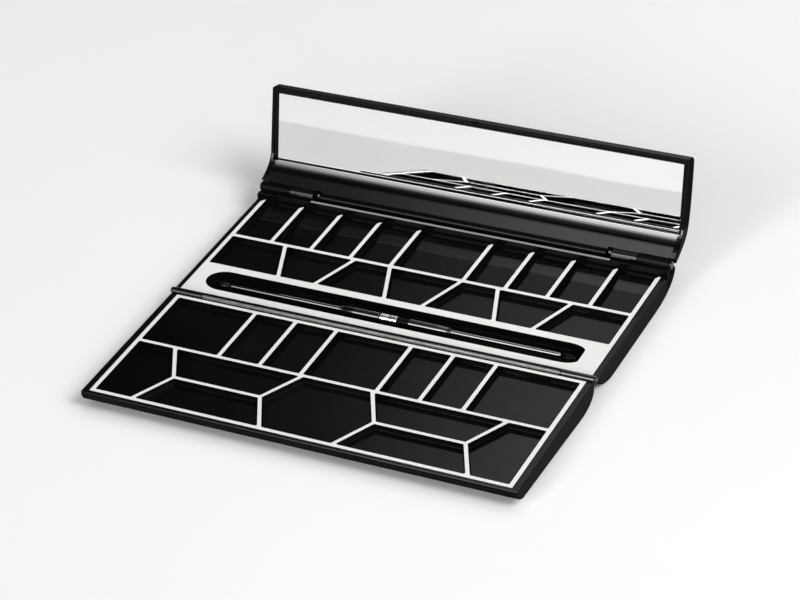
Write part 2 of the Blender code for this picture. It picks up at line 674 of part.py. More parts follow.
def build_mirror_frame(material):
    """The inner bezel: a shallow tub that holds the tape and the mirror."""
    half = LID_HALF - 1.4 * MM - GAP
    low = POCKET_LOW + 0.1 * MM
    high = LID_TOP - 1.5 * MM - GAP
    front = LID_RIM_B + 0.3 * MM
    back = MIRROR_B + MIRROR_THICK + TAPE_THICK + 1.0 * MM + 3 * GAP
    lip = 10.55 * MM
    profile = [(lip, low), (back, low), (back, high), (front, high), (front, MIRROR_A[0] + 1.0 * MM)]
    profile += [(lip, MIRROR_A[0])]
    bm = bmesh.new()
    add_prism_x(bm, profile, -half, half)
    frame = add_lid_object("lid_mirror_frame", bm, material)

    bm = bmesh.new()
    seat = MIRROR_B + MIRROR_THICK + TAPE_THICK + 2 * GAP
    a0 = MIRROR_A[0] - 0.1 * MM
    a1 = MIRROR_A[1] + 0.1 * MM
    opening = MIRROR_HALF + 0.1 * MM
    add_prism_x(bm, [(0.0, a0), (seat, a0), (seat, a1), (0.0, a1)], -opening, opening)
    combine(frame, "DIFFERENCE", "cut_mirror_seat", bm)
    return frame


def build_mirror(material):
    edge = 0.35 * MM
    b0 = MIRROR_B
    b1 = MIRROR_B + MIRROR_THICK
    a0, a1 = MIRROR_A
    half = MIRROR_HALF - 0.1 * MM
    a0 += 0.1 * MM
    a1 -= 0.1 * MM
    rings = []
    for b, inset in ((b1, 0.0), (b0 + edge, 0.0), (b0, edge)):
        x = half - inset
        low = a0 + inset
        high = a1 - inset
        rings.append([Vector((-x, b, low)), Vector((x, b, low)), Vector((x, b, high)), Vector((-x, b, high))])
    bm = bmesh.new()
    add_loft(bm, rings)
    return add_lid_object("mirror", bm, material)


def build_mirror_tape(material):
    b0 = MIRROR_B + MIRROR_THICK + GAP
    b1 = b0 + TAPE_THICK
    a0 = MIRROR_A[0] + 3.0 * MM
    a1 = MIRROR_A[1] - 3.0 * MM
    half = MIRROR_HALF - 4.0 * MM
    bm = bmesh.new()
    add_prism_x(bm, [(b0, a0), (b1, a0), (b1, a1), (b0, a1)], -half, half)
    return add_lid_object("mirror_tape", bm, material)


# ---- hinge pins ----------------------------------------------------------------------------------
def build_pin(name, side, axis, radius, inner_x, head_radius, material):
    """A pin pushed in from the case's end, with a low round head in the knuckle's mouth."""
    head_x = SHELL_HALF - 0.6 * MM + GAP
    stations = [(inner_x, radius * 0.7), (inner_x + radius * 0.3, radius), (head_x, radius)]
    stations += [(head_x, head_radius), (head_x + 0.35 * MM, head_radius)]
    stations += [(head_x + 0.6 * MM, head_radius - 0.25 * MM)]
    if side < 0:
        stations = [(-x, r) for x, r in reversed(stations)]
    bm = bmesh.new()
    add_turned_x(bm, stations, axis, 16)
    return add_object(name, bm, material, origin=(0.0, *axis), smooth=True)


def build_pins(material):
    for label, side in (("left", -1), ("right", 1)):
        inner = FOLD_SPLIT_X - 8.0 * MM
        build_pin(f"fold_hinge_pin_{label}", side, FOLD_AXIS, FOLD_PIN_R, inner, 1.2 * MM, material)
        inner = LID_KNUCKLE_IN + 2.0 * MM
        build_pin(f"lid_hinge_pin_{label}", side, LID_AXIS, LID_PIN_R, inner, 1.9 * MM, material)


# ---- double-ended applicator ---------------------------------------------------------------------
def build_applicator(handle_material, band_material, stem_material, tip_material):
    axis = (APPLICATOR_Y, APPLICATOR_Z)
    origin = (0.0, *axis)
    groove_r = 1.2 * MM
    x0, x1 = HANDLE_X
    b0, b1 = BAND_X
    bm = bmesh.new()
    stations = [(x0, 1.45 * MM), (x0 + 0.8 * MM, 1.75 * MM), (x0 + 6.0 * MM, HANDLE_R)]
    stations += [(b0 - GAP, HANDLE_R), (b0 - GAP, groove_r), (b1 + GAP, groove_r), (b1 + GAP, NECK_R)]
    stations += [(NECK_END_X, NECK_R), (NECK_END_X, HANDLE_R)]
    stations += [(x1 - 6.0 * MM, HANDLE_R), (x1 - 0.8 * MM, 1.75 * MM), (x1, 1.45 * MM)]
    add_turned_x(bm, stations, axis, 24)
    handle = add_object("applicator_handle", bm, handle_material, origin=origin, smooth=True)
    bm = bmesh.new()
    socket = STEM_R + 0.2 * MM
    add_turned_x(bm, [(x0 - 1.0 * MM, socket), (x0 + 5.0 * MM, socket)], axis, 20)
    add_turned_x(bm, [(x1 - 5.0 * MM, socket), (x1 + 1.0 * MM, socket)], axis, 20)
    combine(handle, "DIFFERENCE", "cut_stem_sockets", bm)

    bm = bmesh.new()
    add_turned_x(bm, [(b0, HANDLE_R), (b1, HANDLE_R)], axis, 24)
    band = add_object("applicator_band", bm, band_material, origin=origin, smooth=True)
    bm = bmesh.new()
    add_turned_x(bm, [(b0 - 1.0 * MM, groove_r + GAP), (b1 + 1.0 * MM, groove_r + GAP)], axis, 24)
    combine(band, "DIFFERENCE", "cut_band_bore", bm)

    for label, side, inner_x in (("left", -1, x0 + 4.5 * MM), ("right", 1, x1 - 4.5 * MM)):
        stem = [(inner_x, STEM_R), (side * (STEM_END - 0.5 * MM), STEM_R), (side * STEM_END, STEM_R * 0.7)]
        if side < 0:
            stem.reverse()
        bm = bmesh.new()
        add_turned_x(bm, stem, axis, 16)
        add_object(f"applicator_stem_{label}", bm, stem_material, origin=origin, smooth=True)

        tip = []
        length = TIP_END - STEM_END - GAP
        for i in range(9):
            angle = math.radians(-60 + 145 * i / 8)
            reach = (math.sin(angle) + math.sin(math.radians(60))) / (1 + math.sin(math.radians(60)))
            tip.append((side * (STEM_END + GAP + length * reach), TIP_R * math.cos(angle)))
        if side < 0:
            tip.reverse()
        bm = bmesh.new()
        add_turned_x(bm, tip, axis, 20, flatten=0.7)
        add_object(f"applicator_tip_{label}", bm, tip_material, origin=origin, smooth=True)


def main():
    clear_scene()
    build_base_shell(make_material("base_shell", (0.02, 0.021, 0.018), 0.42))
    build_base_well_tray(make_material("base_well_tray", (0.006, 0.006, 0.006), 0.12))
    build_base_top_plate(make_material("base_top_plate", (0.78, 0.79, 0.76), 0.35, 0.2))
    build_front_shell(make_material("front_shell", (0.02, 0.021, 0.018), 0.42))
    build_front_well_tray(make_material("front_well_tray", (0.006, 0.006, 0.006), 0.12))
    build_front_top_plate(make_material("front_top_plate", (0.78, 0.79, 0.76), 0.35, 0.2))
    build_lid_cover(make_material("lid_cover", (0.02, 0.02, 0.019), 0.3))
    build_mirror_frame(make_material("lid_mirror_frame", (0.004, 0.004, 0.004), 0.15))
    build_mirror(make_material("mirror", (0.9, 0.9, 0.9), 0.02, 1.0))
    build_mirror_tape(make_material("mirror_tape", (0.6, 0.6, 0.58), 0.8))
    build_pins(make_material("hinge_pin", (0.01, 0.01, 0.01), 0.25))
    handle = make_material("applicator_handle", (0.01, 0.01, 0.01), 0.15)
    band = make_material("applicator_band", (0.75, 0.75, 0.74), 0.25, 1.0)
    stem = make_material("applicator_stem", (0.02, 0.02, 0.02), 0.2)
    tip = make_material("applicator_tip", (0.03, 0.03, 0.03), 0.95)
    build_applicator(handle, band, stem, tip)


main()
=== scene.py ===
"""Looks for the folding palette case: materials, fine moulded detail, light and camera.

Metres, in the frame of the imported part: +X along the case, +Y towards the lid hinge, +Z up. Plans and
profiles are in plate millimetres: x and z as in the frame, y counted from the base plate's front edge.
"""

import json
import math
import random

import bmesh
import bpy
from mathutils import Matrix, Vector

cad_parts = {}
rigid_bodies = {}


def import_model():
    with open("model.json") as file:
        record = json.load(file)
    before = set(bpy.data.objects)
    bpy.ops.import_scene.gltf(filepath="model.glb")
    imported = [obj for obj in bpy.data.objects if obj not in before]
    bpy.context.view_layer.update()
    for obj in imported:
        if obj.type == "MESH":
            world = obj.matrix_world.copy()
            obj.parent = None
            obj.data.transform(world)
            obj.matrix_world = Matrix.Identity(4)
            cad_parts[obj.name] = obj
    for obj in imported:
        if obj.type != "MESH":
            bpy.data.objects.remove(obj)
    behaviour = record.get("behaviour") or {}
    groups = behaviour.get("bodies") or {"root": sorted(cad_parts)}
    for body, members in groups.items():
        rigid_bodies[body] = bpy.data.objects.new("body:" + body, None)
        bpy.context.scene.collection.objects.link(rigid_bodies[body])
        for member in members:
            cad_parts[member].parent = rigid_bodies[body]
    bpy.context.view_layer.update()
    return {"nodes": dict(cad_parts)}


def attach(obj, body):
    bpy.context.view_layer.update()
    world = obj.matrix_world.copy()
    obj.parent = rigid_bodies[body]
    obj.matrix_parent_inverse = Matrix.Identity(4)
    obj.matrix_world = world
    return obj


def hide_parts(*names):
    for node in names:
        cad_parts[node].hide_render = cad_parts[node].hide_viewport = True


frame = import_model()
nodes = frame["nodes"]
scene = bpy.context.scene
for left_over in list(bpy.data.objects):
    if left_over.type in ("LIGHT", "CAMERA") or left_over.name == "Cube":
        bpy.data.objects.remove(left_over)

MM = 0.001
SHIFT_Y = -38.0 * MM  # from the base plate's front edge to the part's origin

# ---- places in the part's frame where a finish changes -------------------------------------------
SHELL_RIM_Z = (9.42 * MM, 9.46 * MM)  # above this only knuckles, barrel and rear wall stand up
REAR_WALL_Y = (34.5 * MM, 36.0 * MM)  # the rear wall lies behind this
# the next three places bound the pale painted highlight line along the rear wall's top
REAR_WALL_PAINTED_HIGHLIGHT_Z = (11.7 * MM, 11.8 * MM)
REAR_WALL_TOP_Z = (11.9 * MM, 12.0 * MM)
REAR_WALL_PAINTED_HIGHLIGHT_Y = (38.45 * MM, 38.6 * MM)
KNUCKLE_X = (71.0 * MM, 71.4 * MM)  # the lid's knuckles start here on both sides
LID_BARREL_Y = (42.3 * MM, 43.3 * MM)  # the barrel along the lid's foot ends here
LID_FOOT_Z = (21.5 * MM, 23.0 * MM)  # top of the hollow strip under the mirror
TRENCH_FLOOR_Z = (5.5 * MM, 5.7 * MM)  # above the trench's floor and below the wells' floors
TIP_SHINE_X = (-5.0 * MM, 5.0 * MM)  # the foam tip left of this is the shinier one
PAINTED_LINE_PITCH = 3.2 * MM  # along the fold barrel, between two of its painted highlight lines
PAINTED_LINES_AROUND = 20.0  # how fast the painted highlight lines wind, in radians of line for each radian of turn

# ---- sizes in plate millimetres ------------------------------------------------------------------
DIVIDER = 2.0  # width of the bars between the wells of a row
REAR_EDGES = [-94.0, -74.85, -55.6, -36.4, -17.15, 17.15, 36.4, 55.6, 74.85, 94.0]
REAR_ROW_Y = (45.3, 74.1)
MIDDLE_ROW_Y = (21.9, 43.3)
MIDDLE_SLANTS = [(16.6, 8.9), (33.9, 41.6), (67.2, 59.3)]  # x of each divider, front and rear
FRONT_EDGES = [-93.2, -55.5, -36.3, -17.2, 17.2, 36.3, 55.5, 93.2]
FRONT_HINGE_ROW_Y = (-38.1, -6.2)
FRONT_EDGE_ROW_Y = (-75.6, -39.9)
BASE_LINER_TOP = 8.8
REAR_FLOOR = 6.0
MIDDLE_FLOOR = 6.5
TRENCH_FLOOR = 5.2
TRENCH_FILLET = 0.9
CRADLE_X = (-76.4, -75.5)  # low rib across the trench, in two halves beside the stem
CRADLE_HALVES_Y = ((3.6, 9.6), (12.1, 18.1))
CRADLE_Z = (4.9, 7.2)
LEDGE_Y = (64.0, 70.7, 73.5)  # front, crest and rear of the ledge in each rear well
LEDGE_LIP = 0.52  # between a well's side and the ledge's end
LEDGE_FOOT_Z = 5.95
LEDGE_FRONT_Z = 6.18
FRONT_LINER_TOP = 8.4
FRONT_FLOOR = 6.3
BASE_FILM_Z = (9.0, 9.3)
FRONT_FILM_Z = (8.6, 8.9)

# ---- sizes in metres -----------------------------------------------------------------------------
WELL_CORNER = 0.55 * MM
WELL_DRAFT = 0.06 * MM
FLOOR_FILLET = 0.45 * MM
LEDGE_SLOPE = math.radians(2.5)
LEDGE_REAR_SLOPE = math.radians(11.0)
WINDOW_EXTRA = 0.12 * MM  # the film's windows are that much wider than the wells
TOOL_REACH = 1.0 * MM  # how far a cutter reaches past what it cuts
FOLD_AXIS_Y = -2.45 * MM + SHIFT_Y
FOLD_AXIS_Z = 9.35 * MM
SLEEVE_HALF = 82.2 * MM
SLEEVE_RADIUS = 1.40 * MM
APPLICATOR_AT = Vector((0.0, 10.85 * MM + SHIFT_Y, 7.35 * MM))


# ---- node material helpers -----------------------------------------------------------------------
class Mat:
    """A material being wired: every method returns a socket to link onwards."""

    def __init__(self, name):
        self.material = bpy.data.materials.new(name)
        self.material.use_nodes = True
        self.tree = self.material.node_tree
        self.shader = self.tree.nodes["Principled BSDF"]
        coordinates = self.tree.nodes.new("ShaderNodeTexCoord")
        self.object = coordinates.outputs["Object"]
        self.normal = coordinates.outputs["Normal"]

    def add(self, kind, inputs=None, **settings):
        node = self.tree.nodes.new(kind)
        for key, value in settings.items():
            setattr(node, key, value)
        for key, value in (inputs or {}).items():
            self.put(node.inputs[key], value)
        return node

    def put(self, socket, value):
        if isinstance(value, bpy.types.NodeSocket):
            self.tree.links.new(value, socket)
        else:
            socket.default_value = value

    def set(self, name, value):
        self.put(self.shader.inputs[name], value)

    def scaled(self, scale):
        node = self.add("ShaderNodeMapping", {"Vector": self.object, "Scale": scale})
        return node.outputs["Vector"]

    def noise(self, scale, detail=3.0, rough=0.5, vector=None):
        inputs = {"Vector": vector or self.object, "Scale": scale, "Detail": detail, "Roughness": rough}
        return self.add("ShaderNodeTexNoise", inputs).outputs["Fac"]

    def span(self, value, low, high, to_low, to_high, smooth=False):
        """Maps value from low..high to to_low..to_high, and holds it at the ends."""
        inputs = {"Value": value, "From Min": low, "From Max": high, "To Min": to_low, "To Max": to_high}
        node = self.add("ShaderNodeMapRange", inputs)
        node.interpolation_type = "SMOOTHSTEP" if smooth else "LINEAR"
        return node.outputs["Result"]

    def past(self, value, edge):
        """0 before an edge given as a (low, high) pair, and 1 after it."""
        return self.span(value, *edge, 0.0, 1.0)

    def before(self, value, edge):
        """1 before an edge given as a (low, high) pair, and 0 after it."""
        return self.span(value, *edge, 1.0, 0.0)

    def mix(self, factor, a, b):
        node = self.add("ShaderNodeMix", data_type="RGBA")
        self.put(node.inputs["Factor"], factor)
        self.put(node.inputs[6], a)
        self.put(node.inputs[7], b)
        return node.outputs[2]

    def maths(self, operation, a, b=0.0, clamp=False):
        node = self.add("ShaderNodeMath", {0: a, 1: b}, operation=operation)
        node.use_clamp = clamp
        return node.outputs["Value"]

    def times(self, first, *others):
        for other in others:
            first = self.maths("MULTIPLY", first, other)
        return first

    def axis(self, name):
        """The place along one axis, in metres."""
        node = self.add("ShaderNodeSeparateXYZ", {"Vector": self.object})
        return node.outputs[name]

    def facing(self, name):
        """How much the surface faces along one axis, from -1 to 1."""
        node = self.add("ShaderNodeSeparateXYZ", {"Vector": self.normal})
        return node.outputs[name]

    def unsigned(self, value):
        """The value without its sign."""
        return self.maths("ABSOLUTE", value)

    def bump(self, height, strength, distance, onto=None):
        inputs = {"Height": height, "Strength": strength, "Distance": distance}
        node = self.add("ShaderNodeBump", inputs)
        if onto is not None:
            self.put(node.inputs["Normal"], onto)
        return node.outputs["Normal"]


def grey(value, warm=0.0):
    return (value * (1 + warm), value * (1 + warm * 0.6), value * (1 - warm), 1.0)


def dust_mask(m, scale, share):
    """Sparse specks: 1 on a few round spots and 0 between them."""
    cells = m.add("ShaderNodeTexVoronoi", {"Vector": m.object, "Scale": scale, "Randomness": 1.0})
    size = m.noise(scale * 0.37, 1.0)
    near = m.span(cells.outputs["Distance"], 0.05, 0.09, 1.0, 0.0)
    rare = m.span(size, 1.0 - share, 1.0 - share + 0.03, 0.0, 1.0)
    return m.maths("MULTIPLY", near, rare, clamp=True)


def soft_edges(m, radius=0.00018):
    """Normals that round a moulding's sharp edges, so that they catch a thin line of light."""
    return m.add("ShaderNodeBevel", {"Radius": radius}, samples=6).outputs["Normal"]


def shell_material():
    """Moulded plastic: olive black and grainy outside, polished black on top faces and knuckles.

    The end faces are painted a little lighter, as painted light. The rear wall is duller, with a pale
    painted highlight line along the top of its middle part.
    """
    m = Mat("satin_shell_plastic")
    patches = m.noise(28.0, 4.0, 0.55)
    grain = m.noise(5200.0, 2.0, 0.6)
    streaks = m.noise(240.0, 3.0, 0.6, m.scaled((0.06, 1.0, 1.0)))
    upward = m.past(m.facing("Z"), (0.35, 0.6))
    raised = m.past(m.axis("Z"), SHELL_RIM_Z)
    polished = m.maths("MAXIMUM", upward, raised, clamp=True)
    rear_wall = m.past(m.axis("Y"), REAR_WALL_Y)
    # Painted highlight: a pale line painted along the top of the rear wall's middle part.
    crest = m.times(
        m.past(m.axis("Z"), REAR_WALL_PAINTED_HIGHLIGHT_Z),
        m.before(m.axis("Z"), REAR_WALL_TOP_Z),
        m.before(m.axis("Y"), REAR_WALL_PAINTED_HIGHLIGHT_Y),
        m.before(m.unsigned(m.axis("X")), KNUCKLE_X),
    )
    # Painted light: faces that point along X are painted a lighter olive than the front and back.
    end_faces_painted_lighter = m.span(m.unsigned(m.facing("X")), 0.5, 0.8, 0.0, 0.5)
    olive = m.mix(m.past(patches, (0.35, 0.7)), grey(0.0028, 0.10), grey(0.0052, 0.12))
    olive = m.mix(m.span(grain, 0.35, 0.75, 0.0, 0.4), olive, grey(0.009, 0.11))
    olive = m.mix(end_faces_painted_lighter, olive, grey(0.011, 0.12))
    base = m.mix(m.maths("MAXIMUM", polished, rear_wall), olive, grey(0.0022))
    base = m.mix(crest, base, grey(0.22, 0.02))
    specks = dust_mask(m, 420.0, 0.13)
    m.set("Base Color", m.mix(specks, base, grey(0.08, 0.03)))
    rough = m.span(streaks, 0.3, 0.75, 0.34, 0.46)
    m.set("Roughness", m.maths("ADD", rough, m.span(specks, 0.0, 1.0, 0.0, 0.3), clamp=True))
    edges = soft_edges(m)
    m.set("Normal", m.bump(grain, 0.14, 0.00006, edges))
    m.set("Specular IOR Level", 0.0)
    back = m.span(m.facing("Y"), 0.2, 0.5, 0.04, 0.4)
    glossy = m.times(polished, m.span(rear_wall, 0.0, 1.0, 0.9, 0.12))
    m.set("Coat Weight", m.maths("MAXIMUM", glossy, back))
    m.set("Coat Roughness", 0.16)
    m.set("Coat IOR", 1.5)
    m.set("Coat Normal", m.bump(streaks, 0.03, 0.00003, edges))
    return m.material


def well_material():
    """Black polystyrene with a shallow ripple, hairline scratches and dust; its floors shine most."""
    m = Mat("gloss_well_plastic")
    ripple = m.noise(46.0, 2.0, 0.4)
    hairs = m.noise(900.0, 4.0, 0.65, m.scaled((0.05, 1.4, 1.0)))
    fine = m.past(hairs, (0.60, 0.66))
    specks = dust_mask(m, 520.0, 0.16)
    base = m.mix(m.past(ripple, (0.3, 0.7)), grey(0.0016, 0.02), grey(0.0026, 0.02))
    m.set("Base Color", m.mix(m.span(specks, 0.0, 1.0, 0.0, 0.45), base, grey(0.20, 0.0)))
    smear = m.noise(46.0, 5.0, 0.62)
    rough = m.span(smear, 0.35, 0.7, 0.05, 0.10)
    rough = m.maths("ADD", rough, m.span(fine, 0.0, 1.0, 0.0, 0.08))
    m.set("Roughness", m.maths("ADD", rough, m.span(specks, 0.0, 1.0, 0.0, 0.35), clamp=True))
    relief = m.bump(hairs, 0.03, 0.00003, m.bump(ripple, 0.08, 0.0004))
    m.set("Normal", relief)
    m.set("Specular IOR Level", 0.0)
    level = m.past(m.facing("Z"), (0.9985, 0.9997))
    rearward = m.past(m.facing("Y"), (0.8, 0.95))
    glossy = m.span(m.maths("MAXIMUM", level, rearward, clamp=True), 0.0, 1.0, 0.06, 0.92)
    glossy = m.times(glossy, m.span(m.axis("Z"), *TRENCH_FLOOR_Z, 0.12, 1.0))
    m.set("Coat Weight", m.maths("SUBTRACT", glossy, m.span(fine, 0.0, 1.0, 0.0, 0.2), clamp=True))
    m.set("Coat Roughness", 0.075)
    m.set("Coat IOR", 1.5)
    m.set("Coat Normal", relief)
    return m.material


def plate_material():
    """Pearl-white film with a faint diagonal brushing, on the trays' top faces."""
    m = Mat("brushed_pearl_film")
    diagonal = {"Rotation": (0.0, 0.0, math.radians(38)), "Scale": (0.03, 1.0, 1.0)}
    turned_grain = m.add("ShaderNodeMapping", {"Vector": m.object, **diagonal})
    brushed = m.noise(1500.0, 4.0, 0.7, turned_grain.outputs["Vector"])
    broad = m.noise(24.0, 3.0, 0.5)
    tone = m.mix(m.past(broad, (0.3, 0.7)), grey(0.62, 0.016), grey(0.67, 0.014))
    lines = m.span(brushed, 0.35, 0.65, 0.10, 0.0)
    tone = m.mix(lines, tone, grey(0.36, 0.02))
    specks = dust_mask(m, 380.0, 0.09)
    m.set("Base Color", m.mix(specks, tone, grey(0.26, 0.05)))
    m.set("Roughness", m.span(brushed, 0.3, 0.7, 0.30, 0.44))
    m.set("Normal", m.bump(brushed, 0.08, 0.00004))
    m.set("Specular IOR Level", 0.5)
    return m.material


def lid_material():
    """The lid's smoother satin moulding, with flow hairlines along its length.

    It shines on its foot, top edge and back, and less on its ends, its barrel and inside the hollow.
    """
    m = Mat("satin_lid_plastic")
    patches = m.noise(20.0, 4.0, 0.55)
    hairs = m.noise(1300.0, 4.0, 0.62, m.scaled((0.012, 1.0, 1.0)))
    grain = m.noise(4600.0, 2.0, 0.6)
    base = m.mix(m.past(patches, (0.35, 0.7)), grey(0.0014, 0.05), grey(0.0028, 0.06))
    specks = dust_mask(m, 430.0, 0.12)
    m.set("Base Color", m.mix(specks, base, grey(0.12, 0.02)))
    m.set("Roughness", m.span(hairs, 0.3, 0.7, 0.30, 0.40))
    relief = m.bump(hairs, 0.03, 0.00003, m.bump(grain, 0.02, 0.00002, soft_edges(m)))
    m.set("Normal", relief)
    m.set("Specular IOR Level", 0.0)
    foot = m.span(m.axis("Z"), *LID_FOOT_Z, 1.0, 0.25)
    back = m.span(m.facing("Y"), 0.2, 0.5, 0.0, 0.7)
    top = m.span(m.facing("Z"), 0.6, 0.8, 0.0, 0.9)
    shine = m.maths("MAXIMUM", foot, m.maths("MAXIMUM", top, back))
    ends = m.span(m.unsigned(m.facing("X")), 0.3, 0.6, 1.0, 0.12)
    hollow = m.span(m.facing("Z"), 0.74, 0.79, 0.0, 0.75)
    hollow = m.times(hollow, m.before(m.facing("Z"), (0.912, 0.932)))
    barrel = m.span(m.axis("Y"), *LID_BARREL_Y, 0.12, 1.0)
    knuckle = m.span(m.unsigned(m.axis("X")), *KNUCKLE_X, 0.0, 0.8)
    barrel = m.maths("MAXIMUM", barrel, knuckle)
    shine = m.times(shine, ends, m.maths("SUBTRACT", 1.0, hollow))
    m.set("Coat Weight", m.maths("MULTIPLY", shine, barrel, clamp=True))
    m.set("Coat Roughness", 0.13)
    m.set("Coat IOR", 1.5)
    m.set("Coat Normal", relief)
    return m.material


def bezel_material():
    """The mirror's moulded surround, polished black with wiped smears."""
    m = Mat("gloss_bezel_plastic")
    smear = m.noise(90.0, 4.0, 0.6)
    hairs = m.noise(1500.0, 3.0, 0.6, m.scaled((0.03, 1.0, 1.0)))
    m.set("Base Color", m.mix(m.past(smear, (0.3, 0.7)), grey(0.003), grey(0.005)))
    m.set("Roughness", m.span(smear, 0.3, 0.7, 0.12, 0.22))
    m.set("Normal", m.bump(hairs, 0.04, 0.00003, soft_edges(m, 0.00012)))
    m.set("Specular IOR Level", 0.12)
    return m.material


def mirror_material():
    """Silvered acrylic: a faint sag in the sheet, wiped smears and a few specks."""
    m = Mat("silvered_mirror")
    sag = m.noise(9.0, 1.0, 0.4, m.scaled((1.0, 1.6, 1.6)))
    wiped = m.noise(60.0, 5.0, 0.62, m.scaled((0.5, 1.0, 1.0)))
    specks = dust_mask(m, 360.0, 0.08)
    tone = m.mix(m.past(wiped, (0.3, 0.7)), grey(0.70, 0.006), grey(0.725, 0.006))
    m.set("Base Color", m.mix(specks, tone, grey(0.45)))
    m.set("Metallic", 1.0)
    m.set("Roughness", m.span(wiped, 0.45, 0.8, 0.010, 0.035))
    m.set("Normal", m.bump(sag, 0.04, 0.001))
    return m.material


def foam_tape_material():
    """Closed-cell mounting tape behind the mirror."""
    m = Mat("foam_tape")
    cells = m.add("ShaderNodeTexVoronoi", {"Vector": m.object, "Scale": 2600.0})
    m.set("Base Color", m.mix(cells.outputs["Distance"], grey(0.55, 0.03), grey(0.72, 0.02)))
    m.set("Roughness", m.span(cells.outputs["Distance"], 0.0, 0.7, 0.95, 0.8))
    m.set("Normal", m.bump(cells.outputs["Distance"], 0.4, 0.0001))
    return m.material


def gloss_material(name, tone, rough, level, ring_scale=0.0):
    """Black plastic of a small part, as glossy as level says; a turned part has fine rings round it."""
    m = Mat(name)
    smear = m.noise(160.0, 4.0, 0.6)
    m.set("Base Color", m.mix(m.past(smear, (0.3, 0.7)), grey(tone), grey(tone * 1.7)))
    m.set("Roughness", m.span(smear, 0.3, 0.7, rough, rough + 0.08))
    if ring_scale:
        rings = m.noise(ring_scale, 2.0, 0.6, m.scaled((1.0, 0.02, 0.02)))
        m.set("Normal", m.bump(rings, 0.06, 0.00005))
    else:
        m.set("Normal", m.bump(m.noise(1400.0, 3.0), 0.03, 0.00003))
    m.set("Specular IOR Level", level)
    return m.material


def barrel_material():
    """Polished barrel of the fold, with fine lines that wind slowly round its front side: slight grooves,
    painted paler as painted highlights.
    """
    m = Mat("barrel_plastic_painted_highlight_lines")
    around = m.maths("ARCTAN2", m.facing("Z"), m.times(m.facing("Y"), -1.0))
    along = m.times(m.axis("X"), 2 * math.pi / PAINTED_LINE_PITCH)
    winding = m.maths("SUBTRACT", along, m.times(around, PAINTED_LINES_AROUND))
    ahead = m.before(m.facing("Y"), (-0.62, -0.45))
    # Painted highlight: the lines are painted pale only on the side that faces forwards.
    line = m.times(m.past(m.maths("COSINE", winding), (-0.4, 0.6)), ahead)
    smear = m.noise(160.0, 4.0, 0.6)
    tone = m.mix(m.past(smear, (0.3, 0.7)), grey(0.16, 0.03), grey(0.24, 0.03))
    m.set("Base Color", m.mix(line, grey(0.003), tone))
    m.set("Roughness", m.span(line, 0.0, 1.0, 0.2, 0.4))
    m.set("Normal", m.bump(line, 0.1, 0.00004))
    m.set("Specular IOR Level", 0.0)
    shine = m.span(smear, 0.3, 0.7, 0.55, 0.7)
    m.set("Coat Weight", m.times(shine, m.span(m.facing("Y"), -0.45, -0.35, 1.0, 0.16)))
    m.set("Coat Roughness", 0.06)
    m.set("Coat IOR", 1.6)
    return m.material


def band_material():
    """Bright plated metal with turning lines."""
    m = Mat("polished_band")
    rings = m.noise(2600.0, 3.0, 0.6, m.scaled((1.0, 0.03, 0.03)))
    smear = m.noise(300.0, 3.0)
    m.set("Base Color", m.mix(m.past(smear, (0.3, 0.7)), grey(0.62, 0.01), grey(0.74, 0.01)))
    m.set("Metallic", 1.0)
    m.set("Roughness", m.span(rings, 0.3, 0.7, 0.16, 0.30))
    m.set("Normal", m.bump(rings, 0.12, 0.00004))
    return m.material


def sponge_material():
    """Open-cell foam: dark pores in a soft black skin, shinier on the left tip than on the right."""
    m = Mat("applicator_foam")
    cells = m.add("ShaderNodeTexVoronoi", {"Vector": m.object, "Scale": 3200.0})
    pore = m.span(cells.outputs["Distance"], 0.1, 0.55, 0.0, 1.0, smooth=True)
    broad = m.noise(500.0, 3.0)
    skin = m.mix(m.past(broad, (0.3, 0.7)), grey(0.002), grey(0.005))
    m.set("Base Color", m.mix(pore, grey(0.001), skin))
    m.set("Roughness", m.span(pore, 0.0, 1.0, 0.98, 0.82))
    m.set("Specular IOR Level", 0.0)
    shinier = m.span(m.axis("X"), *TIP_SHINE_X, 1.0, 0.25)
    m.set("Coat Weight", m.times(m.span(broad, 0.3, 0.7, 0.4, 0.6), shinier))
    m.set("Coat Roughness", 0.28)
    m.set("Normal", m.bump(pore, 0.5, 0.0001))
    return m.material


SHELL = shell_material()
WELL = well_material()
PLATE = plate_material()
LID = lid_material()
BEZEL = bezel_material()
MIRROR = mirror_material()
TAPE = foam_tape_material()
EDGE = gloss_material("plate_edge_plastic", 0.002, 0.40, 0.05)
HINGE = barrel_material()
PIN = gloss_material("hinge_pin_plastic", 0.003, 0.14, 0.3)
HANDLE = gloss_material("handle_plastic", 0.003, 0.05, 0.8, ring_scale=1800.0)
NECK = gloss_material("handle_neck_plastic", 0.002, 0.34, 0.06, ring_scale=1800.0)
STEM = gloss_material("stem_plastic", 0.003, 0.05, 1.0, ring_scale=1500.0)
LEDGE = gloss_material("polished_ledge_plastic", 0.0022, 0.03, 0.7)
BAND = band_material()
SPONGE = sponge_material()

LOOKS = {
    "base_shell": SHELL,
    "front_shell": SHELL,
    "base_well_tray": WELL,
    "front_well_tray": WELL,
    "base_top_plate": PLATE,
    "front_top_plate": PLATE,
    "lid_cover": LID,
    "lid_mirror_frame": BEZEL,
    "mirror": MIRROR,
    "mirror_tape": TAPE,
    "fold_hinge_pin_left": PIN,
    "fold_hinge_pin_right": PIN,
    "lid_hinge_pin_left": PIN,
    "lid_hinge_pin_right": PIN,
    "applicator_handle": HANDLE,
    "applicator_band": BAND,
    "applicator_stem_left": STEM,
    "applicator_stem_right": STEM,
    "applicator_tip_left": SPONGE,
    "applicator_tip_right": SPONGE,
}
for node_name, look in LOOKS.items():
    node_mesh = nodes[node_name].data
    node_mesh.materials.clear()
    node_mesh.materials.append(look)


